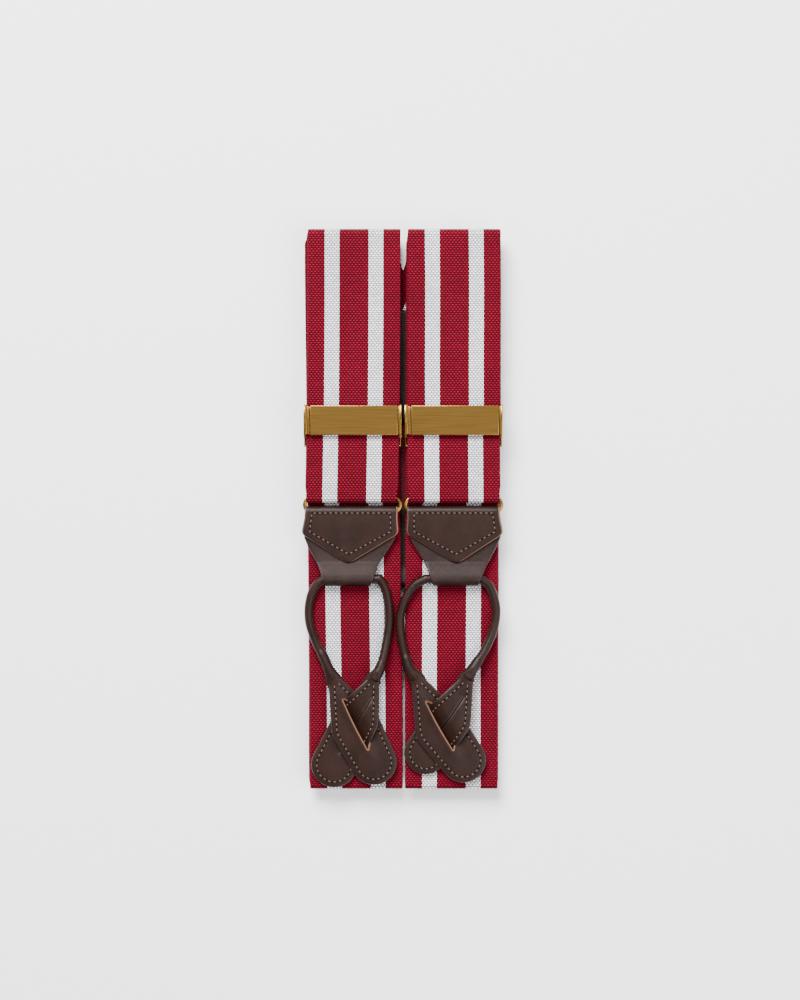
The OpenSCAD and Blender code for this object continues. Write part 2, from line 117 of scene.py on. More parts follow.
def hex_prop(name, description, default):
    return bpy.props.StringProperty(name=name, description=description, default=default)


class WebbingSettings(bpy.types.PropertyGroup):
    width: length_prop("Width", "Width of the webbing", 39.6)
    thickness: length_prop("Thickness", "Thickness of the webbing", 1.1)
    centre_band: length_prop("Centre band", "Width of the middle crimson band", 12.6)
    white_band: length_prop("White band", "Width of each white stripe", 6.2)
    pick: length_prop("Pick", "Height of one row of the weave", 0.95)
    float_length: length_prop("Float", "Width of one raised thread of the weave", 1.5)
    crimson: hex_prop("Crimson", "Colour of the crimson yarn", "#7a0220")
    # Painted shade: the crimson drawn in the gaps between the floats, much darker than the yarn itself
    crimson_gap_shade: hex_prop("Deep crimson", "Colour between the crimson yarns", "#140003")
    white: hex_prop("White", "Colour of the white yarn", "#ffffff")
    # Painted shade: the white drawn in the gaps between the floats, much darker than the yarn itself
    white_gap_shade: hex_prop("Deep white", "Colour between the white yarns", "#625a6a")


class LeatherSettings(bpy.types.PropertyGroup):
    thickness: length_prop("Thickness", "Thickness of the flap", 1.3)
    pared: length_prop("Pared thickness", "Thickness of the neck that wraps the cord", 0.9)
    end_width: length_prop("End width", "Width of a leather end", 41.2)
    neck_width: length_prop("Neck width", "Width of the neck", 19.6)
    cord: length_prop("Cord", "Diameter of a front rolled cord", 3.8)
    back_cord: length_prop("Back cord", "Diameter of the back rolled cord", 3.4)
    stitch: length_prop("Stitch", "Pitch of the stitching", 2.3)
    margin: length_prop("Margin", "Distance of the stitching from an edge", 2.9)
    brown: hex_prop("Brown", "Colour of the calf leather", "#210e08")
    brown_deep: hex_prop("Deep brown", "Colour of the leather's darker patches", "#180a06")
    raw: hex_prop("Cut edge", "Colour of a freshly cut edge", "#74503b")
    burnished: hex_prop("Burnished edge", "Colour of a burnished edge", "#281a16")
    # The turned edge's colour is partly the edge's own paler brown and partly a painted highlight on its
    # rounded ridge
    turned: hex_prop("Turned edge", "Colour of the flap's pale_highlit edge", "#4c372e")
    thread: hex_prop("Thread", "Colour of the stitching thread", "#50392f")


class BrassSettings(bpy.types.PropertyGroup):
    wire: length_prop("Ring wire", "Diameter of the ring's wire", 1.8)
    edge: length_prop("Edge", "Width of the softened edges", 0.22)
    gilt: hex_prop("Gilt", "Colour of the gilt brass", "#8b6934")


# ---- Materials ----

def colour(code):
    """A sRGB hex colour as a linear RGBA."""
    parts = [int(code[i:i + 2], 16) / 255 for i in (1, 3, 5)]
    return [c / 12.92 if c <= 0.04045 else ((c + 0.055) / 1.055) ** 2.4 for c in parts] + [1.0]


def add(tree, kind, settings=None, **links):
    """Adds one node, sets its properties and sockets, and links its inputs."""
    node = tree.nodes.new(kind)
    for key, value in (settings or {}).items():
        if key.startswith("in_"):
            name = key[3:]
            node.inputs[int(name) if name.isdigit() else name].default_value = value
        else:
            setattr(node, key, value)
    for name, source in links.items():
        tree.links.new(source, node.inputs[name])
    return node


def object_place(tree):
    """The object's own coordinates."""
    return add(tree, "ShaderNodeTexCoord").outputs["Object"]


def speckle(tree, scale, detail=2.0, at=None):
    """Noise on the object's own coordinates, or on those of a socket."""
    at = object_place(tree) if at is None else at
    return add(tree, "ShaderNodeTexNoise", {"in_Scale": scale, "in_Detail": detail}, Vector=at).outputs[0]


def math_node(tree, operation, a, b=None, c=None):
    """One Math node; each input is a socket or a number."""
    node = tree.nodes.new("ShaderNodeMath")
    node.operation = operation
    for i, value in enumerate((a, b, c)):
        if value is None:
            continue
        if isinstance(value, (int, float)):
            node.inputs[i].default_value = value
        else:
            tree.links.new(value, node.inputs[i])
    return node.outputs[0]


def new_material(name, **shader):
    """A material with its Principled shader's uniform values set on the shader's own sockets."""
    material = bpy.data.materials.new(name)
    material.use_nodes = True
    tree = material.node_tree
    tree.nodes.clear()
    bsdf = tree.nodes.new("ShaderNodeBsdfPrincipled")
    out = tree.nodes.new("ShaderNodeOutputMaterial")
    tree.links.new(bsdf.outputs[0], out.inputs[0])
    for key, value in shader.items():
        bsdf.inputs[key.replace("_", " ")].default_value = value
    return material, tree, bsdf


def mix_colour(tree, factor, a, b, blend="MIX"):
    """Mixes two colours; each is a socket or a linear RGBA."""
    node = tree.nodes.new("ShaderNodeMix")
    node.data_type = "RGBA"
    node.blend_type = blend
    for slot, value in ((0, factor), (6, a), (7, b)):
        if isinstance(value, bpy.types.NodeSocket):
            tree.links.new(value, node.inputs[slot])
        else:
            node.inputs[slot].default_value = value
    return node.outputs[2]


def shaded(code, share):
    """A hex colour darkened to a share of itself, as a linear RGBA."""
    return [c * share for c in colour(code)[:3]] + [1.0]


def link_looks(tree, bsdf, base, height=None, strength=0.0, relief=0.0, rough=None):
    """Links the colour, the bump and the roughness to the shader; relief is in metres."""
    tree.links.new(base, bsdf.inputs["Base Color"])
    if height is not None:
        bump = add(tree, "ShaderNodeBump", {"in_Strength": strength, "in_Distance": relief}, Height=height)
        tree.links.new(bump.outputs[0], bsdf.inputs["Normal"])
    if rough is not None:
        tree.links.new(rough, bsdf.inputs["Roughness"])


# How far a raised thread of the weave leans over its row, as a share of its own length
WEAVE_LEAN = 0.34


def weave_sockets(tree, pick, float_length):
    """Of a staggered weave on the cloth's own UV, which is in metres: the distance across, whether the
    row is odd, the height and a random number for each thread."""
    uv = add(tree, "ShaderNodeUVMap", {"uv_map": "UVMap"})
    split = add(tree, "ShaderNodeSeparateXYZ", Vector=uv.outputs[0])
    across, along = split.outputs[0], split.outputs[1]
    rows = math_node(tree, "DIVIDE", along, pick)
    odd = math_node(tree, "MODULO", math_node(tree, "FLOOR", rows), 2.0)
    in_row = math_node(tree, "FRACT", rows)
    lean = math_node(tree, "MULTIPLY", math_node(tree, "SUBTRACT", in_row, 0.5), WEAVE_LEAN)
    turn = math_node(tree, "SUBTRACT", 1.0, math_node(tree, "MULTIPLY", odd, 2.0))
    place = math_node(tree, "MULTIPLY_ADD", odd, 0.5, math_node(tree, "DIVIDE", across, float_length))
    place = math_node(tree, "MULTIPLY_ADD", lean, turn, place)
    in_float = math_node(tree, "FRACT", place)
    crown_across = math_node(tree, "SINE", math_node(tree, "MULTIPLY", in_float, math.pi))
    crown_along = math_node(tree, "SINE", math_node(tree, "MULTIPLY", in_row, math.pi))
    height = math_node(tree, "POWER", math_node(tree, "MULTIPLY", crown_across, crown_along), 0.8)
    cell = add(tree, "ShaderNodeCombineXYZ")
    tree.links.new(math_node(tree, "FLOOR", place), cell.inputs[0])
    tree.links.new(math_node(tree, "FLOOR", rows), cell.inputs[1])
    yarn = add(tree, "ShaderNodeTexWhiteNoise", {"noise_dimensions": "2D"}, Vector=cell.outputs[0])
    return across, odd, height, yarn.outputs["Value"]


def webbing_material():
    """Barathea-woven rayon: matt, with a broken rib of small staggered floats and a faint silky sheen.
    The floats are drawn a little coarser than the real yarns, so that they show."""
    w = bpy.context.scene.webbing
    material, tree, bsdf = new_material(
        "barathea_rayon", Roughness=0.7, Sheen_Weight=0.02, Sheen_Roughness=0.4, Specular_IOR_Level=0.06)
    across, odd, height, yarn = weave_sockets(tree, w.pick, w.float_length)
    # Odd rows reach a little further, which frays the stripes' edges as the weave does
    jog = math_node(tree, "MULTIPLY_ADD", odd, 0.12 * MM, math_node(tree, "ABSOLUTE", across))
    middle = w.centre_band / 2 + w.white_band / 2
    stripe = math_node(tree, "COMPARE", jog, middle, w.white_band / 2)
    # The floats' crowns take the yarn's colour and the gaps between them the darker colour: painted shade in
    # the weave's hollows, on top of the bump
    lit = add(tree, "ShaderNodeMapRange", {"interpolation_type": "SMOOTHSTEP", "in_1": 0.12, "in_2": 0.88},
              Value=height).outputs[0]
    red = mix_colour(tree, lit, colour(w.crimson_gap_shade), colour(w.crimson))
    white = mix_colour(tree, lit, colour(w.white_gap_shade), colour(w.white))
    base = mix_colour(tree, stripe, red, white)
    shade = math_node(tree, "MULTIPLY_ADD", yarn, 0.22, 0.82)
    cloud = speckle(tree, 45.0)
    shade = math_node(tree, "MULTIPLY", shade, math_node(tree, "MULTIPLY_ADD", cloud, 0.4, 0.8))
    tone = add(tree, "ShaderNodeCombineColor")
    for i in range(3):
        tree.links.new(shade, tone.inputs[i])
    link_looks(tree, bsdf, mix_colour(tree, 1.0, base, tone.outputs[0], "MULTIPLY"), height, 0.7, 0.35 * MM)
    return material


def elastic_material():
    """Woven elastic: the same crimson yarn in fine ribs along the length over rubber threads."""
    w = bpy.context.scene.webbing
    material, tree, bsdf = new_material(
        "woven_elastic", Roughness=0.8, Sheen_Weight=0.2, Specular_IOR_Level=0.25)
    height = weave_sockets(tree, 0.6 * MM, 1.1 * MM)[2]
    # Darker between the ribs: painted shade in their hollows
    base = mix_colour(tree, height, colour(w.crimson_gap_shade), colour(w.crimson))
    link_looks(tree, bsdf, base, height, 0.6, 0.25 * MM)
    return material


BLACK = [0.0, 0.0, 0.0, 1.0]


def leather_material(name, roughness, grain_mm, relief_mm, light=0.0):
    """Aniline-dyed calf: smooth, a soft broad shine, cloudy dye, fine pores and faint creases."""
    p = bpy.context.scene.leather
    material, tree, bsdf = new_material(
        name, Roughness=roughness, Specular_IOR_Level=0.16)
    place = object_place(tree)
    cloud = speckle(tree, 130.0, 4.0, place)
    grain = add(tree, "ShaderNodeTexVoronoi",
                {"feature": "DISTANCE_TO_EDGE", "in_Scale": 1 / (grain_mm * MM)}, Vector=place)
    pores = speckle(tree, 2.2 / (grain_mm * MM), at=place)
    valley = add(tree, "ShaderNodeMapRange", {"in_1": 0.0, "in_2": 0.12},
                 Value=grain.outputs["Distance"]).outputs[0]
    relief = math_node(tree, "MULTIPLY_ADD", pores, 0.45, valley)
    dark, pale = colour(p.brown_deep), colour(p.brown)
    pale = [c + light * (0.4 - c) for c in pale[:3]] + [1.0]
    wide = add(tree, "ShaderNodeMapRange", {"in_1": 0.3, "in_2": 0.7}, Value=cloud).outputs[0]
    base = mix_colour(tree, math_node(tree, "MULTIPLY_ADD", valley, 0.14, 0.86), BLACK,
                      mix_colour(tree, wide, dark, pale))
    rough = math_node(tree, "MULTIPLY_ADD", cloud, 0.16, roughness - 0.08)
    link_looks(tree, bsdf, base, relief, 0.5, relief_mm * MM, rough)
    return material


def speckled_material(name, roughness, specular, scale, dark, pale):
    """A plain material whose colour is a fine mixture of two."""
    material, tree, bsdf = new_material(name, Roughness=roughness, Specular_IOR_Level=specular)
    link_looks(tree, bsdf, mix_colour(tree, speckle(tree, scale), dark, pale))
    return material


def edge_material(name, code, roughness):
    """Edge of calf: raw it is undyed tan fibre, dry and matt; burnished it is dark and smooth."""
    return speckled_material(name, roughness, 0.35, 1500.0, shaded(code, 0.6), colour(code))


def thread_material():
    """Waxed polyester thread: smooth, twisted, with a small glint."""
    thread = bpy.context.scene.leather.thread
    return speckled_material("waxed_thread", 0.42, 0.6, 2500.0, shaded(thread, 0.6), colour(thread))


def hole_painted_shade_material():
    """Painted shade for a stitch hole: a flat disc coloured as leather in deep shade."""
    deep = shaded(bpy.context.scene.leather.brown_deep, 0.35)
    return speckled_material("stitch_hole_painted_shade", 0.9, 0.1, 2000.0, [0.004, 0.003, 0.002, 1.0], deep)


def brass_material():
    """Gilt brass, satin-lacquered: a warm metal with fine brushing across the strap."""
    b = bpy.context.scene.brass
    material, tree, bsdf = new_material("gilt_brass", Metallic=1.0, Roughness=0.3)
    stretch = add(tree, "ShaderNodeMapping", {"in_Scale": (60.0, 4000.0, 4000.0)}, Vector=object_place(tree))
    brushed = speckle(tree, 1.0, 3.0, stretch.outputs[0])
    base = mix_colour(tree, brushed, shaded(b.gilt, 0.86), colour(b.gilt))
    rough = math_node(tree, "MULTIPLY_ADD", brushed, 0.14, 0.22)
    link_looks(tree, bsdf, base, brushed, 0.08, 0.02 * MM, rough)
    return material


def floor_material():
    """Matt white board."""
    return speckled_material("matt_board", 0.9, 0.1, 300.0, colour("#f8f8f8"), colour("#ffffff"))


FINISHES = {}
MAKERS = {
    "webbing": webbing_material,
    "elastic": elastic_material,
    "calf": lambda: leather_material("smooth_calf", 0.42, 0.8, 0.05),
    "lining": lambda: leather_material("grained_calf_lining", 0.5, 0.65, 0.09, 0.012),
    "edge": lambda: edge_material("burnished_calf_edge", bpy.context.scene.leather.burnished, 0.45),
    # Turned edge: its own paler brown with a painted highlight mixed in
    "turned": lambda: edge_material("turned_calf_edge_painted_highlight", bpy.context.scene.leather.turned, 0.4),
    "raw": lambda: edge_material("cut_calf_edge", bpy.context.scene.leather.raw, 0.8),
    "thread": thread_material,
    "hole": hole_painted_shade_material,
    "brass": brass_material,
    "floor": floor_material,
}


def finish(name):
    """A material by its short name, made the first time that it is asked for."""
    if name not in FINISHES:
        FINISHES[name] = MAKERS[name]()
    return FINISHES[name]


# ---- Making meshes ----

def mesh_object(name, verts, faces, finishes, face_finish=None, uvs=None):
    """An object from points in millimetres, with its normals turned outwards."""
    mesh = bpy.data.meshes.new(name)
    mesh.from_pydata([Vector(v) * MM for v in verts], [], faces)
    if uvs is not None:
        layer = mesh.uv_layers.new(name="UVMap")
        for loop in mesh.loops:
            layer.data[loop.index].uv = uvs[loop.vertex_index]
    for key in finishes:
        mesh.materials.append(finish(key))
    if face_finish is not None:
        mesh.polygons.foreach_set("material_index", face_finish)
    work = bmesh.new()
    work.from_mesh(mesh)
    bmesh.ops.recalc_face_normals(work, faces=work.faces)
    work.to_mesh(mesh)
    work.free()
    mesh.polygons.foreach_set("use_smooth", [True] * len(mesh.polygons))
    obj = bpy.data.objects.new(name, mesh)
    bpy.context.scene.collection.objects.link(obj)
    return obj


# Where the points of a rounded edge stand on its half circle, in degrees
EDGE_ANGLES = (50, 0, -50)


def skin(name, rows, thick, finishes, closed=False, uvs=None):
    """A sheet of one thickness with rounded edges. rows are lists of (point, normal), in millimetres;
    closed joins the last row to the first. finishes: the faces, the edge at the rows' ends and, if it
    differs, the edge at their starts."""
    verts, faces, which, uv_out = [], [], [], []
    n = len(rows[0])
    ring = 2 * n + 2 * len(EDGE_ANGLES)
    for r, row in enumerate(rows):
        line = [p + m * thick / 2 for p, m in row]
        marks = list(range(n))
        for end, inner, sign in ((-1, -2, 1), (0, 1, -1)):
            if sign < 0:
                line += [p - m * thick / 2 for p, m in reversed(row)]
                marks += list(reversed(range(n)))
            out = (row[end][0] - row[inner][0]).normalized()
            for angle in EDGE_ANGLES:
                a = math.radians(angle)
                line.append(row[end][0] + out * (math.cos(a) * thick / 2)
                            + row[end][1] * (sign * math.sin(a) * thick / 2))
                marks.append(n - 1 if sign > 0 else 0)
        verts += line
        if uvs is not None:
            uv_out += [uvs[r][m] for m in marks]
    edge = 1 if len(finishes) > 1 else 0
    last_edge = set(range(n - 1, n + len(EDGE_ANGLES)))
    first_edge = set(range(ring - len(EDGE_ANGLES) - 1, ring))
    count = len(rows)
    for r in range(count if closed else count - 1):
        a, b = r * ring, ((r + 1) % count) * ring
        for k in range(ring):
            k2 = (k + 1) % ring
            faces.append((a + k, a + k2, b + k2, b + k))
            which.append(edge if k in last_edge else len(finishes) - 1 if k in first_edge else 0)
    if not closed:
        e = len(EDGE_ANGLES)
        for a in (0, (count - 1) * ring):
            for k in range(n - 1):
                faces.append((a + k, a + k + 1, a + 2 * n + e - 2 - k, a + 2 * n + e - 1 - k))
                which.append(edge)
            faces.append(tuple(a + k for k in range(n - 1, n + e + 1)))
            faces.append(tuple(a + k % ring for k in range(2 * n + e - 1, ring + 1)))
            which += [edge, edge]
    return mesh_object(name, verts, faces, finishes, which, uv_out if uvs is not None else None)


def arc(centre, radius, start, end, n=12):
    """Points (along, height) of an arc, in degrees."""
    angles = [math.radians(start + (end - start) * i / n) for i in range(n + 1)]
    return [(centre[0] + radius * math.cos(a), centre[1] + radius * math.sin(a)) for a in angles]


def refined(line, step):
    """The same line with its long stretches cut into steps."""
    out = [line[0]]
    for a, b in zip(line, line[1:]):
        parts = max(1, math.ceil(math.dist(a, b) / step))
        out += [tuple(p + (q - p) * k / parts for p, q in zip(a, b)) for k in range(1, parts + 1)]
    return out


def smoothstep(low, high, value):
    t = min(1.0, max(0.0, (value - low) / (high - low)))
    return t * t * (3 - 2 * t)


def between(table, value):
    """Straight-line interpolation in a short table of (value, result)."""
    for (a, fa), (b, fb) in zip(table, table[1:]):
        if value <= b:
            return fa + (fb - fa) * max(0.0, value - a) / (b - a)
    return table[-1][1]


def strip_rows(line, half_width, columns, thick, crown=0.0):
    """Rows, UVs and length of a band that follows stations (x, along, height), its width along X.
    half_width is a number or a function of the station's index and its place along Y."""
    rows, uvs, run = [], [], 0.0
    count = len(line)
    for i, (x, y, z) in enumerate(line):
        before, after = line[max(i - 1, 0)], line[min(i + 1, count - 1)]
        dy, dz = after[1] - before[1], after[2] - before[2]
        size = math.hypot(dy, dz) or 1.0
        normal = Vector((0, -dz / size, dy / size))
        if i:
            run += math.dist(line[i], line[i - 1])
        half = half_width(i, y) if callable(half_width) else half_width
        half = max(half - thick / 2, 0.05)
        row, marks = [], []
        for k in range(columns + 1):
            a = -1 + 2 * k / columns
            lift = normal * (crown * (1 - a * a))
            row.append((Vector((x + a * half, y, z)) + lift, normal))
            marks.append((a * half * MM, run * MM))
        rows.append(row)
        uvs.append(marks)
    return rows, uvs, run


def settle(obj, body, slot, *nodes):
    """Says which body a piece rides on and the frame nodes that it stands for; slot is not used."""
    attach(obj, body)
    if nodes:
        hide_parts(*nodes)
    return obj


def ring_faces(first, rings, sides):
    """Faces of a tube whose points are given ring after ring from the number first, with both its caps."""
    faces = []
    for a in range(first, first + (rings - 1) * sides, sides):
        for k in range(sides):
            k2 = (k + 1) % sides
            faces.append((a + k, a + k2, a + sides + k2, a + sides + k))
    last = first + (rings - 1) * sides
    return faces + [tuple(range(first, first + sides)), tuple(range(last, last + sides))]


# Depth of the groove along a cord's seam, and the number of points round a cord
GROOVE, CORD_SIDES = 0.28, 18


def tube(name, path, diameter, seam):
    """A round cord along points in millimetres, with its seam's groove at an angle, its UV in metres."""
    verts, uvs, run = [], [], 0.0
    points = [Vector(p) for p in path]
    up_axis = Vector((0, 0, 1))
    for i, p in enumerate(points):
        along = (points[min(i + 1, len(points) - 1)] - points[max(i - 1, 0)]).normalized()
        side = up_axis.cross(along).normalized()
        top = along.cross(side)
        run += (p - points[i - 1]).length if i else 0.0
        for k in range(CORD_SIDES):
            angle = 2 * math.pi * k / CORD_SIDES
            r = diameter / 2 - GROOVE * max(0.0, math.cos((angle - seam) / 2)) ** 60
            verts.append(p + side * (r * math.cos(angle)) + top * (r * math.sin(angle)))
            uvs.append((k / CORD_SIDES * math.pi * diameter * MM, run * MM))
    return mesh_object(name, verts, ring_faces(0, len(points), CORD_SIDES), ("calf",), None, uvs)


def curve_through(points, steps):
    """A smooth line through given points (Catmull-Rom)."""
    out = []
    pts = [Vector(p) for p in points]
    for i in range(len(pts) - 1):
        a, b = pts[max(i - 1, 0)], pts[i]
        c, d = pts[i + 1], pts[min(i + 2, len(pts) - 1)]
        for k in range(steps):
            t = k / steps
            out.append((2 * b + (c - a) * t + (2 * a - 5 * b + 4 * c - d) * t * t
                        + (3 * b - a - 3 * c + d) * t ** 3) / 2)
    out.append(pts[-1])
    return out


# A stitch's height over the leather at shares of its length, and the points round it
STITCH_ARCH = ((0.0, -0.25), (0.2, 0.08), (0.5, 0.16), (0.8, 0.08), (1.0, -0.25))
THREAD_SIDES = 5
# Half the length and half the width of a stitch's hole, how far it stands off the end, and its points
HOLE_ALONG, HOLE_ACROSS, HOLE_OFF, HOLE_SIDES = 0.42, 0.46, 0.16, 7


def stitches(name, line, pitch, radius=0.26, share=0.62):
    """A row of stitches along surface points (point, normal): each a short thread that dips into a hole.
    share is the part of the pitch that a stitch takes up."""
    verts, faces, which = [], [], []
    marks, run = [0.0], 0.0
    for (p, _), (q, _) in zip(line, line[1:]):
        run += (q - p).length
        marks.append(run)
    count = max(1, round(run / pitch))
    pitch = run / count

    def at(distance):
        """Point, normal and direction at a distance along the line."""
        distance = min(max(distance, 0.0), run)
        for i in range(len(marks) - 1):
            if distance <= marks[i + 1]:
                (p, m), (q, n) = line[i], line[i + 1]
                t = (distance - marks[i]) / max(marks[i + 1] - marks[i], 1e-9)
                return p.lerp(q, t), m.lerp(n, t).normalized(), (q - p).normalized()
        return line[-1][0], line[-1][1], (line[-1][0] - line[-2][0]).normalized()

    for s in range(count):
        first, last = (s + 0.5 - share / 2) * pitch, (s + 0.5 + share / 2) * pitch
        base = len(verts)
        for t, lift in STITCH_ARCH:
            p, m, d = at(first + (last - first) * t)
            side = m.cross(d).normalized()
            for k in range(THREAD_SIDES):
                angle = 2 * math.pi * k / THREAD_SIDES
                verts.append(p + m * (lift + radius * math.sin(angle)) + side * (radius * math.cos(angle)))
        thread = ring_faces(base, len(STITCH_ARCH), THREAD_SIDES)
        faces += thread
        which += [0] * len(thread)
        # Each hole is a flat dark disc just above the leather: painted shade that stands for the sunken hole
        for end, sign in ((first, -1), (last, 1)):
            p, m, d = at(end)
            side = m.cross(d).normalized()
            base = len(verts)
            for k in range(HOLE_SIDES):
                angle = 2 * math.pi * k / HOLE_SIDES
                verts.append(p + m * 0.05 + d * (math.cos(angle) * HOLE_ALONG + sign * HOLE_OFF)
                             + side * (math.sin(angle) * HOLE_ACROSS))
            verts.append(p + m * 0.04 + d * (sign * HOLE_OFF))
            faces += [(base + k, base + (k + 1) % HOLE_SIDES, base + HOLE_SIDES) for k in range(HOLE_SIDES)]
            which += [1] * HOLE_SIDES
    return mesh_object(name, verts, faces, ("thread", "hole"), which)


# Stitching on the underside is finer, and stands less far out, so that the part lies close to the floor
UNDER_STITCH = 0.16


def underside(points):
    """A stitching line on the underside, through points (x, along)."""
    return [(Vector((x, y, 0.02)), Vector((0, 0, -1))) for x, y in points]


# ---- Webbing ----

A_Z = STRAP_HIGH[2]
# Columns of faces across the webbing, and the length of a step along it
WEB_COLUMNS, WEB_STEP = 26, 3.0


def strap_stations(side):
    """Stations of one strap from under the adjuster to the back patch: front layer, top fold,
    middle layer, bottom fold, back layer, inner fold and the run in to the patch."""
    t = bpy.context.scene.webbing.thickness / MM
    sign = -1 if side == "left" else 1
    x0 = SIDE_X[side]
    a = A_Z - t / 2
    d = box_mm("patch_lining")[1][2] + 0.75 + t / 2
    c, e = d + 1.5, d - 1.5
    end_z = PATCH_HIGH[2] + 0.05 + t / 2 + (0 if side == "left" else t + 0.05)
    r_top, r = (a - c) / 2, 0.75
    front = [(up(158.5), a)] + arc((up(PACK_L) - t / 2 - r_top, (a + c) / 2), r_top, 90, -90, 16)
    middle = arc((up(t / 2 + r), (c + d) / 2), r, 90, 270, 12)
    back = arc((up(PACK_L - 2) - t / 2, (d + e) / 2), r, 90, -90, 12)
    shift = {"left": (0.6, -0.6, 1.5), "right": (0.4, -0.5, -0.9)}[side]

    def sway(y, low, high):
        return x0 + low + (high - low) * smoothstep(up(0), up(PACK_L), y)

    line = [(sway(y, 0.0, shift[0]), y, z) for y, z in refined(front, WEB_STEP)]
    line += [(sway(y, shift[2], shift[1]), y, z)
             for y, z in refined([front[-1], middle[0]], WEB_STEP)[1:-1]]
    line += [(sway(y, shift[2], shift[1]), y, z) for y, z in middle]
    line += [(sway(y, shift[2] * 0.7, 0.2), y, z)
             for y, z in refined([middle[-1], back[0]], WEB_STEP)[1:-1]]
    line += [(sway(y, 0.4, 0.2), y, z) for y, z in back]
    last = line[-1]
    tail = [last, (x0, up(235.5), e), (sign * 21.2, up(226), end_z), (sign * 20.4, up(223), end_z),
            (sign * 11.4, up(203), end_z), (sign * 10.5, up(198), end_z), (sign * 8, up(172), end_z)]
    return line + refined(tail, WEB_STEP)[1:]


def build_webbing(side):
    """One strap: a single folded sheet with a gentle swell between its folds."""
    w = bpy.context.scene.webbing
    t, half = w.thickness / MM, w.width / MM / 2
    line = strap_stations(side)
    phase = 3.0 if side == "left" else 11.0
    soft = []
    for x, y, z in line:
        swell = 0.05 * noise.noise(Vector((phase, y * 0.035, z * 0.2)))
        soft.append((x + 0.25 * noise.noise(Vector((phase + 5, y * 0.02, z * 0.3))), y, z + swell * (z > 9)))
    rows, uvs, run = strip_rows(soft, half, WEB_COLUMNS, t)
    obj = skin("strap_%s_webbing" % side, rows, t, ("webbing",), uvs=uvs)
    settle(obj, "straps", "webbing", "strap_" + side)
    return run


def run_stations(side):
    """Stations of the doubled run: front, round the ring's upper bar, behind, round the adjuster's bar
    and the tail."""
    t = bpy.context.scene.webbing.thickness / MM
    a = A_Z - t / 2
    ring_r = a - RING_Z
    back_z = RING_Z - ring_r
    bar_r = BAR_R + WIRE_GAP + t / 2
    # Never below the strap's own front layer, which it rides over as the adjuster slides up
    line = [(up(157.0), a + 0.1), (up(151), a + 0.1), (up(148), a + 0.3), (up(143), a + 0.45),
            (up(137), a + 0.12), (up(131), a + 0.3), (up(127), a + 0.12)]
    line += arc((RING_TOP_Y, RING_Z), ring_r, 90, 270, 16)
    line += [(RING_TOP_Y + 8, back_z)] + arc((BAR_Y, BAR_Z), bar_r, -90, 90, 12)
    line += [(BAR_Y - 4, BAR_Z + 0.9), (BAR_Y - 8, back_z + t + 0.05), (up(128), back_z + t + 0.05)]
    x = SIDE_X[side]
    lean = {"left": -0.4, "right": 0.2}[side]
    return [(x + lean * smoothstep(up(150), up(120), y), y, z) for y, z in refined(line, 1.6)]


def build_run(side):
    """The doubled run of webbing between the adjuster and the ring."""
    w = bpy.context.scene.webbing
    t = w.thickness / MM
    half = w.width / MM / 2

    def nipped(i, y):
        return half - 0.35 * smoothstep(up(130), up(126), y)

    rows, uvs, run = strip_rows(run_stations(side), nipped, WEB_COLUMNS, t, crown=0.12)
    obj = skin("strap_run_%s_webbing" % side, rows, t, ("webbing",), uvs=uvs)
    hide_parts("strap_run_" + side)
    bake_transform(obj)
    return run


# ---- Brass ----

def only(obj):
    """Selects one object alone and makes it active."""
    bpy.ops.object.select_all(action="DESELECT")
    obj.select_set(True)
    bpy.context.view_layer.objects.active = obj


def apply_transform():
    """Applies the active object's transform to its mesh."""
    bpy.ops.object.transform_apply(location=True, rotation=True, scale=True)


def round_edges(obj, width, angle=None):
    """Bevels the active object's edges; angle, in degrees, leaves out those that are blunter."""
    bevel = obj.modifiers.new("Bevel", "BEVEL")
    bevel.width = width
    bevel.segments = 3
    if angle is not None:
        bevel.limit_method = "ANGLE"
        bevel.angle_limit = math.radians(angle)
    bpy.ops.object.modifier_apply(modifier=bevel.name)


def smooth_by_angle():
    bpy.ops.object.shade_smooth_by_angle(angle=math.radians(35))


def box_object(centre, size):
    """A box from its centre and its size in millimetres, selected alone."""
    bpy.ops.object.select_all(action="DESELECT")
    bpy.ops.mesh.primitive_cube_add(size=1, location=[c * MM for c in centre], scale=[s * MM for s in size])
    apply_transform()
    return bpy.context.active_object


def join_to(body, obj):
    """Joins the selected object to a body."""
    obj.select_set(True)
    body.select_set(True)
    bpy.context.view_layer.objects.active = body
    bpy.ops.object.join()


def softened_copy(node, name, width):
    """A copy of a frame node's mesh with its triangles merged and its sharp edges rounded."""
    source = frame["nodes"][node]
    obj = bpy.data.objects.new(name, source.data.copy())
    bpy.context.scene.collection.objects.link(obj)
    obj.data.materials.clear()
    only(obj)
    bpy.ops.object.mode_set(mode="EDIT")
    bpy.ops.mesh.select_all(action="SELECT")
    bpy.ops.mesh.remove_doubles(threshold=1e-6)
    bpy.ops.mesh.dissolve_limited(angle_limit=math.radians(1))
    bpy.ops.object.mode_set(mode="OBJECT")
    round_edges(obj, width, 40)
    smooth_by_angle()
    obj.data.materials.append(finish("brass"))
    return obj


# Width and thickness of the lever's plate, and how far it stands to the right of the middle
PLATE_W, PLATE_T, PLATE_SHIFT = 37.3, 0.95, 0.6
# Flanges of the cheeks beside the plate: left and right edges and depth below the plate's face
FLANGES = ((-20.8, -19.3, 0.15), (-19.4, -18.2, 0.5), (19.4, 20.8, 0.15))
FLANGE_T = 0.6


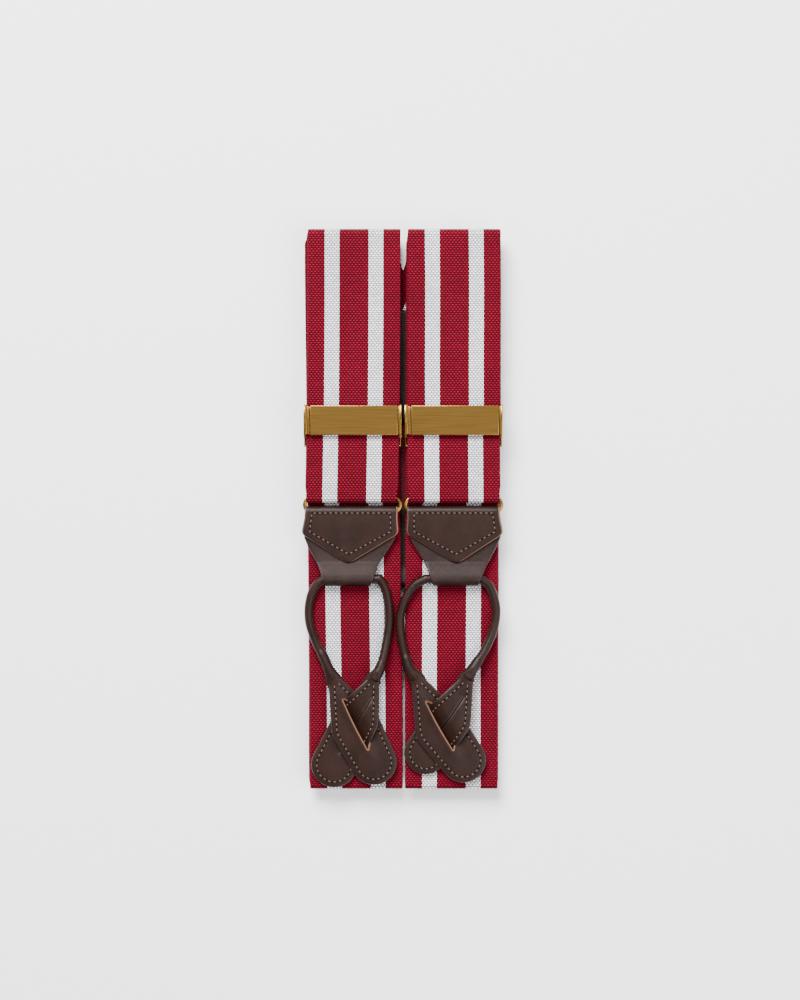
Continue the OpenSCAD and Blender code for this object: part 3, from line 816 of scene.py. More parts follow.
def build_frame(side):
    """The frame: the plate behind the strap and its cheeks, whose tops are turned in as flanges."""
    node = "adjuster_frame_" + side
    body = softened_copy(node, node + "_brass", 0.16 * MM)
    low, high = box_mm("adjuster_lever_" + side)
    for left_x, right_x, drop in FLANGES:
        flange = box_object((SIDE_X[side] + (left_x + right_x) / 2, (low[1] + high[1]) / 2,
                             high[2] - drop - FLANGE_T / 2),
                            (right_x - left_x, high[1] - low[1] - 0.6, FLANGE_T))
        flange.data.materials.append(finish("brass"))
        round_edges(flange, bpy.context.scene.brass.edge)
        join_to(body, flange)
    smooth_by_angle()
    return settle(body, "adjuster_" + side, "gilt_brass", node)


def build_lever(side):
    """The lever: a flat front plate between the cheeks' flanges and a knuckle round the pin."""
    low, high = box_mm("adjuster_lever_" + side)
    knuckle = pivot_mm("lever_hinge_" + side)
    x = SIDE_X[side] + PLATE_SHIFT
    plate = box_object((x, (low[1] + high[1]) / 2, high[2] - PLATE_T / 2),
                       (PLATE_W, high[1] - low[1], PLATE_T))
    plate.name = "adjuster_lever_%s_brass" % side
    # A loop of faces just inside the front face's edge keeps the bevel's shading off its middle
    bpy.ops.object.mode_set(mode="EDIT")
    bpy.ops.mesh.select_all(action="DESELECT")
    work = bmesh.from_edit_mesh(plate.data)
    for face in work.faces:
        face.select_set(face.normal.z > 0.9)
    bmesh.update_edit_mesh(plate.data)
    bpy.ops.mesh.inset(thickness=0.45 * MM, depth=0)
    bpy.ops.object.mode_set(mode="OBJECT")
    only(plate)
    round_edges(plate, bpy.context.scene.brass.edge, 50)
    bpy.ops.object.select_all(action="DESELECT")
    bpy.ops.mesh.primitive_cylinder_add(
        vertices=40, radius=(high[2] - knuckle[2]) * MM * 0.9, depth=PLATE_W * MM * 0.995,
        location=(x * MM, knuckle[1] * MM, knuckle[2] * MM), rotation=(0, math.pi / 2, 0))
    roll = bpy.context.active_object
    apply_transform()
    join_to(plate, roll)
    smooth_by_angle()
    plate.data.materials.clear()
    plate.data.materials.append(finish("brass"))
    plate.data.name = plate.name
    return settle(plate, "lever_" + side, "gilt_brass", "adjuster_lever_" + side)


def build_ring(side):
    """The wire ring: a torus whose halves are drawn apart into an oblong with round ends."""
    low, high = box_mm("end_ring_" + side)
    wire = bpy.context.scene.brass.wire / MM
    centre = [(p + q) / 2 for p, q in zip(low, high)]
    major = (high[1] - low[1] - wire) / 2
    bpy.ops.object.select_all(action="DESELECT")
    bpy.ops.mesh.primitive_torus_add(
        major_segments=64, minor_segments=20, major_radius=major * MM, minor_radius=wire / 2 * MM,
        location=[c * MM for c in centre])
    ring = bpy.context.active_object
    ring.name = "end_ring_%s_brass" % side
    apply_transform()
    reach = (high[0] - low[0]) / 2 - wire / 2 - major
    for sign in (-1, 1):
        bpy.ops.object.mode_set(mode="EDIT")
        bpy.ops.mesh.select_all(action="DESELECT")
        work = bmesh.from_edit_mesh(ring.data)
        for vert in work.verts:
            vert.select_set(sign * (vert.co.x - centre[0] * MM) > 1e-5)
        bmesh.update_edit_mesh(ring.data)
        bpy.ops.transform.translate(value=(sign * reach * MM, 0, 0))
        bpy.ops.object.mode_set(mode="OBJECT")
    bpy.ops.object.shade_smooth()
    ring.data.materials.append(finish("brass"))
    ring.data.name = ring.name
    return settle(ring, "ring_" + side, "gilt_brass", "end_ring_" + side)


# ---- Leather ends ----

FLAP_TIP_Y, FLAP_CORNER_Y, LAP_Y = up(97), up(109), up(111.5)
# How far each end leans to the side as it fell, at the ring, at the flap's tip and at the neck
END_LEAN = {"left": (-0.5, -1.9, -1.9), "right": (-0.1, 1.3, 0.9)}


def lean_x(side, y):
    """The middle of a leather end at a place along it."""
    ring, tip, neck = END_LEAN[side]
    return SIDE_X[side] + between([(RUNNER_Y, neck), (FLAP_TIP_Y, tip), (RING_Y, ring)], y)


def flap_half(y):
    """Half the flap's width: straight at the ring, widest at the corners, then a V to a blunt tip."""
    p = bpy.context.scene.leather
    half = p.end_width / MM / 2
    return between([(FLAP_TIP_Y, 1.3), (FLAP_TIP_Y + 0.5, 2.4), (FLAP_CORNER_Y - 0.6, half - 0.9),
                    (FLAP_CORNER_Y + 0.4, half - 0.1), (FLAP_CORNER_Y + 1.4, half), (RING_Y - 3, half - 0.7),
                    (RING_Y + 4, half - 0.9)], y)


def flap_height(x, y, side, top=True):
    """Height of the flap's face at a place: crowned over the ring and pressed down at its edges."""
    p = bpy.context.scene.leather
    t = p.thickness / MM
    r = WIRE_R + WIRE_GAP + t / 2
    half = max(flap_half(y), 1.0)
    a = min(1.0, abs(x - lean_x(side, y)) / half)
    sag = 0.55 * smoothstep(RING_Y - 2, FLAP_TIP_Y, y)
    return RING_Z + r - sag + 0.15 * (1 - a * a) + (t / 2 if top else 0)


def build_flap(side):
    """The V-shaped flap, folded round the ring's lower bar."""
    p = bpy.context.scene.leather
    t = p.thickness / MM
    r = WIRE_R + WIRE_GAP + t / 2
    front = [(y, flap_height(SIDE_X[side], y, side, top=False) - 0.15) for y in
             [FLAP_TIP_Y + 0.02, FLAP_TIP_Y + 0.3, FLAP_TIP_Y + 0.6]
             + [FLAP_TIP_Y + 1 + 0.8 * k for k in range(26)] if y < RING_Y - 0.3]
    line = front + arc((RING_Y, RING_Z), r, 90, -90, 14) + [(LAP_Y + 3, RING_Z - r), (LAP_Y, RING_Z - r)]
    stations = [(lean_x(side, y), y, z) for y, z in line]
    turn = len(front) + 7

    def half(i, y):
        return flap_half(y) if i <= turn else p.end_width / MM / 2 - 1.2

    rows, uvs, _ = strip_rows(stations, half, 28, t, crown=0.15)
    # The flap's left edge, down its side and its V, takes the turned edge colour: its own paler brown with a
    # painted highlight
    obj = skin("end_flap_%s_calf" % side, rows, t, ("calf", "raw", "turned"), uvs=uvs)
    return settle(obj, "end_" + side, "leather", "end_flap_" + side)


def neck_half(y):
    """Half the width of the back leather, which tapers from the corners to the neck."""
    p = bpy.context.scene.leather
    half, neck = p.end_width / MM / 2, p.neck_width / MM / 2
    return between([(up(86.5), neck - 0.3), (up(89), neck + 0.6), (up(91.2), neck + 1.4),
                    (up(95.5), neck + 3), (up(100), neck + 5.7), (up(104), neck + 8),
                    (FLAP_CORNER_Y - 1.5, half - 1.1), (FLAP_CORNER_Y + 1, half - 0.9),
                    (up(120), half - 1.2)], y)


def build_neck(side):
    """The back leather: it tapers to the neck, wraps the cord and goes back up under the flap."""
    p = bpy.context.scene.leather
    t = p.pared / MM
    r = p.cord / MM / 2 + 0.075 + t / 2
    flap_under = RING_Z + WIRE_R - 0.85
    line = [(LAP_Y - 0.4, BED_Z + t / 2), (up(104), BED_Z + t / 2), (up(97), BED_Z + t / 2)]
    line += arc((RUNNER_Y, RUNNER_Z), r, 270, 90, 22)
    line += [(RUNNER_Y + 1.6, RUNNER_Z + r - 0.15), (RUNNER_Y + 3.2, RUNNER_Z + r - 0.75),
             (RUNNER_Y + 5.0, RUNNER_Z + r - 1.5), (RUNNER_Y + 7.0, flap_under + 0.2),
             (RUNNER_Y + 9.5, flap_under), (LAP_Y, flap_under)]
    stations = [(lean_x(side, y), y, z) for y, z in refined(line, 1.2)]
    rows, uvs, _ = strip_rows(stations, lambda i, y: neck_half(y), 22, t)
    obj = skin("end_back_%s_calf" % side, rows, t, ("lining", "edge"), uvs=uvs)
    return settle(obj, "end_" + side, "leather", "end_back_" + side)


def build_flap_stitching(side):
    """Stitching round the flap, a margin inside its edge."""
    p = bpy.context.scene.leather
    m, half = p.margin / MM, p.end_width / MM / 2
    top_y, tip_y = RING_Y - 0.6, FLAP_TIP_Y + m * 1.15
    corner = FLAP_CORNER_Y + 0.9
    outline = [(-(half - m - 1.0), top_y), (half - m - 1.0, top_y), (half - m - 0.5, corner),
               (0.0, tip_y), (-(half - m - 0.5), corner), (-(half - m - 1.0), top_y)]
    line = []
    for x, y in refined(outline, 1.0):
        place = lean_x(side, y) + x
        line.append((Vector((place, y, flap_height(place, y, side) - 0.02)), Vector((0, 0, 1))))
    obj = stitches("end_%s_stitching" % side, line, p.stitch / MM)
    return settle(obj, "end_" + side, "leather")


# ---- Rolled cords and button tabs ----

# Heights of a lying cord, of the tab over the crossing and of each tab's middle, then the routes (x, distance
# above the bottom fold, height) of the cords from the front tab round the neck to the rear tab
LAY_Z = BED_Z + 1.9
HIGH_Z = 2 * MID_Z - BED_Z
MID_T, HIGH_T = MID_Z + TAB_T, HIGH_Z + TAB_T
FRONT_ROUTES = {
    "left": [
        (-29.8, 47.4, MID_T), (-31.6, 51, MID_T), (-33.9, 56.5, LAY_Z + 0.6), (-37, 62.5, LAY_Z),
        (-39.6, 70, LAY_Z), (-40.2, 76.5, LAY_Z), (-39.2, 82.6, LAY_Z + 0.2), (-36.8, 87.2, RUNNER_Z - 0.4),
        (-33.4, 89.8, RUNNER_Z), (-31.9, 89.8, RUNNER_Z), (-26.5, 89.8, RUNNER_Z), (-21.5, 89.8, RUNNER_Z),
        (-16.5, 89.8, RUNNER_Z), (-11.1, 89.8, RUNNER_Z), (-9.8, 89.6, RUNNER_Z),
        (-7.6, 85.5, RUNNER_Z - 0.5), (-6.3, 79, LAY_Z + 0.1), (-6, 72, LAY_Z), (-6.7, 65, LAY_Z + 0.3),
        (-8, 58, LAY_Z + 1.5),
        (-9.7, 52, HIGH_Z + 0.4), (-11, 49.5, HIGH_T), (-12.6, 47.4, HIGH_T)],
    "right": [
        (5.6, 47.6, MID_T), (3, 51, MID_T), (1.6, 55, LAY_Z + 0.6), (0.2, 60, LAY_Z),
        (-1.1, 67, LAY_Z), (-1.2, 74, LAY_Z), (0.9, 81, LAY_Z + 0.2), (4.6, 86.8, RUNNER_Z - 0.4),
        (9.4, 89.6, RUNNER_Z), (11.1, 89.8, RUNNER_Z), (16.5, 89.8, RUNNER_Z), (21.5, 89.8, RUNNER_Z),
        (26.5, 89.8, RUNNER_Z), (31.9, 89.8, RUNNER_Z), (33.4, 89.6, RUNNER_Z), (36.9, 86.6, RUNNER_Z - 0.4),
        (39.2, 80, LAY_Z + 0.2), (39.6, 74, LAY_Z), (38, 66.5, LAY_Z + 0.2), (34.8, 59.5, LAY_Z + 1.2),
        (31, 53.5, HIGH_Z + 0.4), (29, 50.6, HIGH_T), (27.2, 48, HIGH_T)],
}
BACK_LAY_Z = 1.8
BACK_HALF_ROUTE = [
    (13, 41, BACK_LAY_Z), (14.5, 46, BACK_LAY_Z), (16.5, 53, BACK_LAY_Z), (18.2, 61, BACK_LAY_Z),
    (18.6, 69, BACK_LAY_Z), (17.6, 77, BACK_LAY_Z), (16, 82.5, BACK_LAY_Z + 0.3), (13.8, 86.8, BACK_RUNNER_Z),
    (11.6, 88.5, BACK_RUNNER_Z), (10.3, 88.5, BACK_RUNNER_Z), (5, 88.5, BACK_RUNNER_Z)]
BACK_ROUTE = ([(-x, y, z) for x, y, z in BACK_HALF_ROUTE] + [(0, 88.5, BACK_RUNNER_Z)]
              + list(reversed(BACK_HALF_ROUTE)))


def build_cord(name, route, diameter, body, node, seam):
    """A rolled leather cord along its route, with the groove of its seam on the inner side."""
    path = curve_through([(x, up(y), z) for x, y, z in route], 8)
    obj = tube(name, path, diameter, seam)
    length = sum((q - p).length for p, q in zip(path, path[1:]))
    settle(obj, body, "leather", node)
    return length


# Circles (x, along, radius) of each front tab's top, middle and paddle, and the ends of its buttonhole
FRONT_TAB = {"left": ((-28.2, 44.5, 3.4), (-20, 26.5, 10.6), (-12.4, 11.8, 9.8)),
             "right": ((7, 44.8, 3.4), (15.6, 26.3, 10.6), (25.8, 12.6, 9.6))}
REAR_TAB = {"left": ((-13.4, 44.6, 3.3), (-19.8, 30, 9.5), (-29.4, 10.6, 9.8)),
            "right": ((26.4, 45, 3.4), (19.2, 30, 9.6), (9.7, 15.6, 9.2))}
FRONT_SLIT = {"left": ((-25.4, 38.3), (-15.0, 17.4)), "right": ((10.0, 37.4), (21.3, 17.2))}
REAR_SLIT = {"left": ((-13.2, 39.2), (-27.2, 15.6)), "right": ((25.9, 39.6), (12.4, 19.5))}
# How far the front buttonhole is spread by the tab in it
SPREAD = 3.4


def polar(centre, radius, start, end, n):
    """n + 1 points of an arc, in radians."""
    angles = [start + (end - start) * i / n for i in range(n + 1)]
    return [Vector((centre[0] + radius * math.cos(a), centre[1] + radius * math.sin(a))) for a in angles]


def leaf(circles, inset=0.0):
    """Outline round three circles, clockwise from the middle of the top one. Their places along it are
    given above the bottom fold."""
    c = [(x, up(y), r - inset) for x, y, r in circles]
    turn, flare = [], []
    for a, b in zip(c, c[1:]):
        d = Vector((b[0] - a[0], b[1] - a[1]))
        turn.append(math.atan2(d.y, d.x))
        flare.append(math.acos((a[2] - b[2]) / d.length))
    (t0, t1), (k0, k1) = turn, flare
    return (polar(c[0], c[0][2], t0 + math.pi, t0 + k0, 16) + polar(c[1], c[1][2], t0 + k0, t1 + k1, 8)
            + polar(c[2], c[2][2], t1 + k1, t1 - k1, 48) + polar(c[1], c[1][2], t1 - k1, t0 - k0, 8)
            + polar(c[0], c[0][2], t0 - k0, t0 - math.pi, 16))


def hit(start, direction, outline):
    """Where a ray first leaves an outline."""
    best = 1e9
    for p, q in zip(outline, outline[1:] + outline[:1]):
        e = q - p
        cross = direction.x * e.y - direction.y * e.x
        if abs(cross) < 1e-12:
            continue
        w = p - start
        along = (w.x * e.y - w.y * e.x) / cross
        share = (w.x * direction.y - w.y * direction.x) / cross
        if along > 1e-6 and -1e-6 <= share <= 1 + 1e-6:
            best = min(best, along)
    return start + direction * best


def slit_spokes(top, low, outline, left, right, low_r=0.0, side_n=34, fan_n=26):
    """Pairs of points, from the rim of a buttonhole out to the outline, all the way round. left and right
    give half the opening on each side at a share of the way down; low_r is a round eye at the low end."""
    top, low = Vector(top), Vector(low)
    d = (low - top).normalized()
    e = Vector((-d.y, d.x))
    length = (low - top).length
    spokes = []

    def side(share, sign, opening):
        from_low = (1 - share) * length
        eye = math.sqrt(max(0.0, low_r ** 2 - from_low ** 2))
        p = top + d * (share * length)
        spokes.append((p + e * (sign * max(opening(share), eye)), hit(p, e * sign, outline)))

    for i in range(side_n):
        side(i / (side_n - 1), 1, left)
    for i in range(1, fan_n):
        a = math.pi * i / fan_n
        way = e * math.cos(a) + d * math.sin(a)
        spokes.append((low + way * max(low_r, left(1.0)), hit(low, way, outline)))
    for i in range(side_n):
        side(1 - i / (side_n - 1), -1, right)
    for i in range(1, fan_n):
        a = math.pi * i / fan_n
        way = -e * math.cos(a) - d * math.sin(a)
        spokes.append((top + way * left(0.0), hit(top, way, outline)))
    return spokes


def tab_skin(name, spokes, height, layer, columns=9, slit_edge="raw"):
    """One layer of a tab: rows run out from the slit to the rim. layer is +1 for the upper and -1 for the
    lower one."""
    rows = []
    half = TAB_T / 2
    for p_in, p_out in spokes:
        d = (p_out - p_in).normalized()
        a, b = p_in + d * half, p_out - d * half
        row = []
        for k in range(columns + 1):
            q = a.lerp(b, k / columns)
            step = 0.25
            hx = (height(q.x + step, q.y) - height(q.x - step, q.y)) / (2 * step)
            hy = (height(q.x, q.y + step) - height(q.x, q.y - step)) / (2 * step)
            normal = Vector((-hx, -hy, 1)).normalized()
            puff = 0.14 * math.sin(math.pi * k / columns) if layer > 0 else 0.0
            row.append((Vector((q.x, q.y, height(q.x, q.y))) + normal * (layer * half + puff), normal))
        rows.append(row)
    finishes = ("calf" if layer > 0 else "lining", "edge", slit_edge)
    return skin(name, rows, TAB_T * 0.98, finishes, closed=True)


def beside(side):
    """Signed distance to the right of the front tab's spread buttonhole, and the distance down it."""
    (tx, ty), (lx, ly) = FRONT_SLIT[side]
    top = Vector((tx, up(ty)))
    d = (Vector((lx, up(ly))) - top).normalized()

    def measure(x, y):
        q = Vector((x, y)) - top
        return q.x * -d.y + q.y * d.x - SPREAD / 2, q.dot(d)
    return measure


def front_height(side):
    """Middle height of the front tab: its left limb rides over the rear tab, its right limb ducks under."""
    measure = beside(side)

    def height(x, y):
        v, u = measure(x, y)
        crossing = smoothstep(-8, 3, u) * (1 - smoothstep(20, 31, u))
        twist = 0.5 * crossing * (smoothstep(3.0, -3.0, v) * 2 - 1)
        roll = 0.5 * crossing * smoothstep(-5.5, -1.5, v) * smoothstep(1, -1, v)
        droop = 1.3 * smoothstep(21, 40, u) + 0.3 * smoothstep(5, 11, abs(v)) * smoothstep(14, 30, u)
        return MID_T + twist + roll - droop
    return height


def rear_height(side):
    """Middle height of the rear tab: over the front tab's right limb, down through the slit, then flat."""
    measure = beside(side)
    slit = [Vector((x, up(y))) for x, y in REAR_SLIT[side]]
    along = (slit[1] - slit[0]).normalized()

    def height(x, y):
        v = measure(x, y)[0]
        t = smoothstep(-3.4, 3.2, v)
        low = BED_Z + TAB_T + 0.05
        q = Vector((x, y)) - slit[0]
        right_of, down = -q.x * along.y + q.y * along.x, q.dot(along)
        lip = 0.4 * smoothstep(-0.1, 0.2, right_of) * smoothstep(7, 1.5, right_of)
        lip = lip * smoothstep(-1, 4, down) * smoothstep(22, 16, down)
        bow = 0.35 * math.sin(math.pi * min(1, max(0, (v - 2) / 10)))
        return low + (HIGH_T - low) * t + lip + bow * t
    return height


def surface_point(tree, place, fallback_z):
    """Point and upward normal where a plumb line at place meets a surface, in millimetres."""
    start = Vector((place.x, place.y, 60.0)) * MM
    found, normal, _, _ = tree.ray_cast(start, Vector((0, 0, -1)))
    if found is None:
        return Vector((place.x, place.y, fallback_z)), Vector((0, 0, 1))
    return found / MM, normal if normal.z > 0 else -normal


def build_front_tabs(side):
    """The crossed pair of tabs: the rear one is threaded through the slit of the front one."""
    p = bpy.context.scene.leather
    body = "button_loop_" + side
    margin = p.margin / MM - 0.5
    kinds = (("front", FRONT_TAB[side], FRONT_SLIT[side], front_height(side),
              lambda t: 0.1 + SPREAD * math.sin(math.pi * t) ** 0.8,
              lambda t: 0.1 + 0.35 * math.sin(math.pi * t)),
             ("rear", REAR_TAB[side], REAR_SLIT[side], rear_height(side),
              lambda t: 0.06, lambda t: 0.06))
    for kind, circles, slit, height, right, left in kinds:
        outline = leaf(circles)
        (tx, ty), (lx, ly) = slit
        spokes = slit_spokes((tx, up(ty)), (lx, up(ly)), outline, right, left)
        for layer, word in ((1, "face"), (-1, "lining")):
            obj = tab_skin("%s_tab_%s_%s_calf" % (kind, word, side), spokes, height, layer,
                           slit_edge="raw" if kind == "front" else "edge")
            settle(obj, body, "leather", "%s_tab_%s_%s" % (kind, word, side))
            if word == "face":
                top = BVHTree.FromPolygons([v.co for v in obj.data.vertices],
                                           [f.vertices for f in obj.data.polygons])
        path = [Vector(q) for q in refined([tuple(q) for q in leaf(circles, margin)[9:-9]], 0.7)]
        line = [surface_point(top, q, height(q.x, q.y) + TAB_T) for q in path]
        settle(stitches("%s_tab_%s_stitching" % (kind, side), line, p.stitch / MM), body, "leather")


def build_tab_collar(name, route, end, diameter, circles, body):
    """The tapered sleeve of leather where a cord flattens into its tab."""
    points = curve_through([(x, up(y), z) for x, y, z in route], 8)
    if end < 0:
        points = list(reversed(points))
    head = points[:22]
    aim = Vector((circles[1][0], up(circles[1][1]), head[0].z))
    tip = head[0] + (aim - head[0]).normalized() * 8
    stations = list(reversed(head)) + [head[0].lerp(tip, t) for t in (0.15, 0.3, 0.45, 0.6, 0.75, 0.9, 1.0)]
    count, sides = len(stations), 28
    verts = []
    for i, c in enumerate(stations):
        t = i / (count - 1)
        along = (stations[min(i + 1, count - 1)] - stations[max(i - 1, 0)]).normalized()
        side = Vector((0, 0, 1)).cross(along).normalized()
        high = along.cross(side)
        start, flat = smoothstep(0.0, 0.12, t), smoothstep(0.3, 1.0, t)
        round_part = (diameter / 2 - 0.1 + 0.4 * start) * (1 - flat)
        wide, tall = round_part + 3.9 * flat, round_part + 0.95 * flat
        for k in range(sides):
            a = 2 * math.pi * k / sides
            verts.append(c + side * (wide * math.cos(a)) + high * (tall * math.sin(a)))
    obj = mesh_object(name, verts, ring_faces(0, count, sides), ("calf",))
    return settle(obj, body, "leather")


# ---- Back ----

def flat_rows(outline_half, y_low, y_high, z, thick, columns=20, step=1.5):
    """Rows, UVs and length of a flat piece in the middle; outline_half gives half its width along Y."""
    count = max(2, round((y_high - y_low) / step))
    line = [(0.0, y_low + (y_high - y_low) * i / count, z) for i in range(count + 1)]
    return strip_rows(line, lambda i, y: outline_half(y), columns, thick)


def patch_half(y):
    """Half the back patch's width: narrow at the elastic, widening to the two straps."""
    return between([(PATCH_LOW[1], 17.2), (PATCH_LOW[1] + 0.8, 18.6), (PATCH_LOW[1] + 3, 20.6),
                    (PATCH_HIGH[1] - 3.5, 29.6), (PATCH_HIGH[1] - 1.5, 29.2), (PATCH_HIGH[1], 26.5)], y)


def build_patch():
    """The back patch: two leathers sewn over the straps' ends and the elastic."""
    p = bpy.context.scene.leather
    t = p.thickness / MM
    for node, look in (("patch_face", "calf"), ("patch_lining", "lining")):
        low, high = box_mm(node)
        rows, uvs, _ = flat_rows(patch_half, low[1] + 0.3, high[1] - 0.3, (low[2] + high[2]) / 2, t)
        obj = skin(node + "_calf", rows, t, (look, "edge"), uvs=uvs)
        settle(obj, "straps", "leather", node)
    m = p.margin / MM
    low_y, high_y = PATCH_LOW[1] + m, PATCH_HIGH[1] - m
    outline = [(-patch_half(low_y) + m, low_y), (patch_half(low_y) - m, low_y),
               (patch_half(high_y) - m, high_y), (-patch_half(high_y) + m, high_y),
               (-patch_half(low_y) + m, low_y)]
    line = underside(refined(outline, 1.0))
    settle(stitches("patch_stitching", line, p.stitch / MM, UNDER_STITCH), "straps", "leather")


def build_elastic():
    """The back elastic, a short ribbed sheet."""
    low, high = box_mm("back_elastic")
    t = high[2] - low[2]
    half = (high[0] - low[0]) / 2
    rows, uvs, run = flat_rows(lambda y: half, low[1], high[1], (low[2] + high[2]) / 2, t, 24, 1.2)
    obj = skin("back_elastic_cloth", rows, t, ("elastic",), uvs=uvs)
    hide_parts("back_elastic")
    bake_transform(obj)
    return run


def back_half(y):
    """Half the width of the back end's face: straight, then a V to a blunt tip."""
    top, tip = BACK_HIGH[1], BACK_LOW[1]
    return between([(tip, 1.2), (tip + 0.5, 2.2), (tip + 11.6, 18.4), (tip + 13, 19.3), (tip + 14, 19.5),
                    (top - 1.5, 19.4), (top, 18.2)], y)


def build_back_end():
    """The back leather end: a face with a V, and a lining that wraps the back cord."""
    p = bpy.context.scene.leather
    t = p.thickness / MM
    rows, uvs, _ = flat_rows(back_half, BACK_LOW[1] + 0.1, BACK_HIGH[1] - 0.4, t / 2, t, 24, 0.8)
    face = skin("back_end_face_calf", rows, t, ("calf", "edge"), uvs=uvs)
    settle(face, "back_end", "leather", "back_end_face")
    thin = p.pared / MM - 0.1
    r = p.back_cord / MM / 2 + 0.075 + thin / 2
    web = bpy.context.scene.webbing.thickness / MM
    top_z = t + 0.05 + web + 0.05 + thin / 2
    line = [(BACK_HIGH[1] - 0.5, top_z), (BACK_RUNNER_Y + 6, top_z),
            (BACK_RUNNER_Y + 2.5, BACK_RUNNER_Z + r - 0.5)]
    line += arc((BACK_RUNNER_Y, BACK_RUNNER_Z), r, 90, 270, 22) + [(BACK_LOW[1] - 0.6, thin / 2)]
    shift = FLAP_CORNER_Y - 1.5 - (BACK_LOW[1] + 9.5)

    def half(i, y):
        return min(neck_half(y + shift), 19.2)

    rows, uvs, _ = strip_rows([(0.0, y, z) for y, z in refined(line, 1.2)], half, 20, thin)
    obj = skin("back_end_lining_calf", rows, thin, ("lining", "edge"), uvs=uvs)
    settle(obj, "back_end", "leather", "back_end_lining")
    m = p.margin / MM
    corner = BACK_LOW[1] + 13.4
    outline = [(-(19.4 - m), BACK_HIGH[1] - m), (19.4 - m, BACK_HIGH[1] - m), (19.4 - m, corner),
               (0, BACK_LOW[1] + m * 1.2), (-(19.4 - m), corner), (-(19.4 - m), BACK_HIGH[1] - m)]
    stitched = underside(refined(outline, 1.0))
    settle(stitches("back_end_stitching", stitched, p.stitch / MM, UNDER_STITCH), "back_end", "leather")


# Circles (x, along, radius) of the right back tab
BACK_TAB = ((12.8, 36.2, 4.6), (12.2, 25, 7.0), (11.5, 13, 9.8))


def build_back_tabs():
    """The two back tabs, side by side, each with a keyhole buttonhole."""
    p = bpy.context.scene.leather
    margin = p.margin / MM - 0.3
    for side, e in (("left", -1), ("right", 1)):
        circles = [(e * x, y, r) for x, y, r in BACK_TAB]
        low = Vector((circles[2][0], up(circles[2][1])))
        top = low + (Vector((circles[0][0], up(circles[0][1]))) - low).normalized() * 21
        spokes = slit_spokes(top, low, leaf(circles), lambda t: 0.6, lambda t: 0.6, 2.0)
        for layer, word in ((-1, "face"), (1, "lining")):
            obj = tab_skin("back_tab_%s_%s_calf" % (side, word), spokes, lambda x, y: TAB_T, layer,
                           slit_edge="edge")
            settle(obj, "back_button_loop", "leather", "back_tab_%s_%s" % (side, word))
        line = underside(leaf(circles, margin)[9:-9])
        settle(stitches("back_tab_%s_stitching" % side, line, p.stitch / MM, UNDER_STITCH),
               "back_button_loop", "leather")


# ---- Operators ----

class SUSPENDERS_OT_webbing(bpy.types.Operator):
    """Build the two folded straps and their doubled runs"""
    bl_idname = "suspenders.webbing"
    bl_label = "Straps"

    def execute(self, context):
        for side in SIDES:
            build_webbing(side)
            build_run(side)
        return {"FINISHED"}


class SUSPENDERS_OT_adjusters(bpy.types.Operator):
    """Build the brass adjusters: frame, lever, pin and rear loop"""
    bl_idname = "suspenders.adjusters"
    bl_label = "Adjusters"

    def execute(self, context):
        for side in SIDES:
            pin = "adjuster_pin_" + side
            build_frame(side)
            settle(softened_copy(pin, pin + "_brass", 0.1 * MM), "adjuster_" + side, "gilt_brass", pin)
            loop = frame["nodes"]["adjuster_loop_" + side]
            loop.data.materials.clear()
            loop.data.materials.append(finish("brass"))
            build_lever(side)
        return {"FINISHED"}


class SUSPENDERS_OT_rings(bpy.types.Operator):
    """Build the brass wire rings"""
    bl_idname = "suspenders.rings"
    bl_label = "Rings"

    def execute(self, context):
        for side in SIDES:
            build_ring(side)
        return {"FINISHED"}


class SUSPENDERS_OT_ends(bpy.types.Operator):
    """Build the front leather ends with their stitching"""
    bl_idname = "suspenders.ends"
    bl_label = "Leather ends"

    def execute(self, context):
        for side in SIDES:
            build_flap(side)
            build_neck(side)
            build_flap_stitching(side)
        return {"FINISHED"}


class SUSPENDERS_OT_cords(bpy.types.Operator):
    """Build the rolled leather cords"""
    bl_idname = "suspenders.cords"
    bl_label = "Cords"

    def execute(self, context):
        p = context.scene.leather
        seam = math.radians(150)
        for side in SIDES:
            build_cord("cord_%s_rolled" % side, FRONT_ROUTES[side], p.cord / MM, "button_loop_" + side,
                       "cord_" + side, seam)
        build_cord("back_cord_rolled", BACK_ROUTE, p.back_cord / MM, "back_button_loop", "back_cord", seam)
        return {"FINISHED"}


class SUSPENDERS_OT_tabs(bpy.types.Operator):
    """Build the crossed front button tabs and the sleeves that join them to the cords"""
    bl_idname = "suspenders.tabs"
    bl_label = "Front tabs"

    def execute(self, context):
        p = context.scene.leather
        for side in SIDES:
            build_front_tabs(side)
            for name, end, tabs in (("front", 1, FRONT_TAB), ("rear", -1, REAR_TAB)):
                build_tab_collar("%s_collar_%s" % (name, side), FRONT_ROUTES[side], end, p.cord / MM,
                                 tabs[side], "button_loop_" + side)
        return {"FINISHED"}


class SUSPENDERS_OT_back(bpy.types.Operator):
    """Build the back patch, elastic, leather end and tabs"""
    bl_idname = "suspenders.back"
    bl_label = "Back"

    def execute(self, context):
        build_patch()
        build_elastic()
        build_back_end()
        build_back_tabs()
        return {"FINISHED"}


# The camera looks straight down; its centre, the width that it sees and its height are in millimetres
VIEW_CENTRE = (-1.3, 3.9)
VIEW_WIDTH = 340.4
CAMERA_HEIGHT = 1300.0
SENSOR_WIDTH = 36.0
# The underside rests on its stitching, which stands this far proud of the leather
FLOOR_DROP = 0.36
SKY_STRENGTH = 0.68
# Name, width in metres, watts and place of each soft light
LIGHTS = (("key_light", 0.8, 86.0, (-0.35, 1.0, 1.15)), ("fill_light", 1.2, 28.0, (0.9, -0.5, 1.2)))


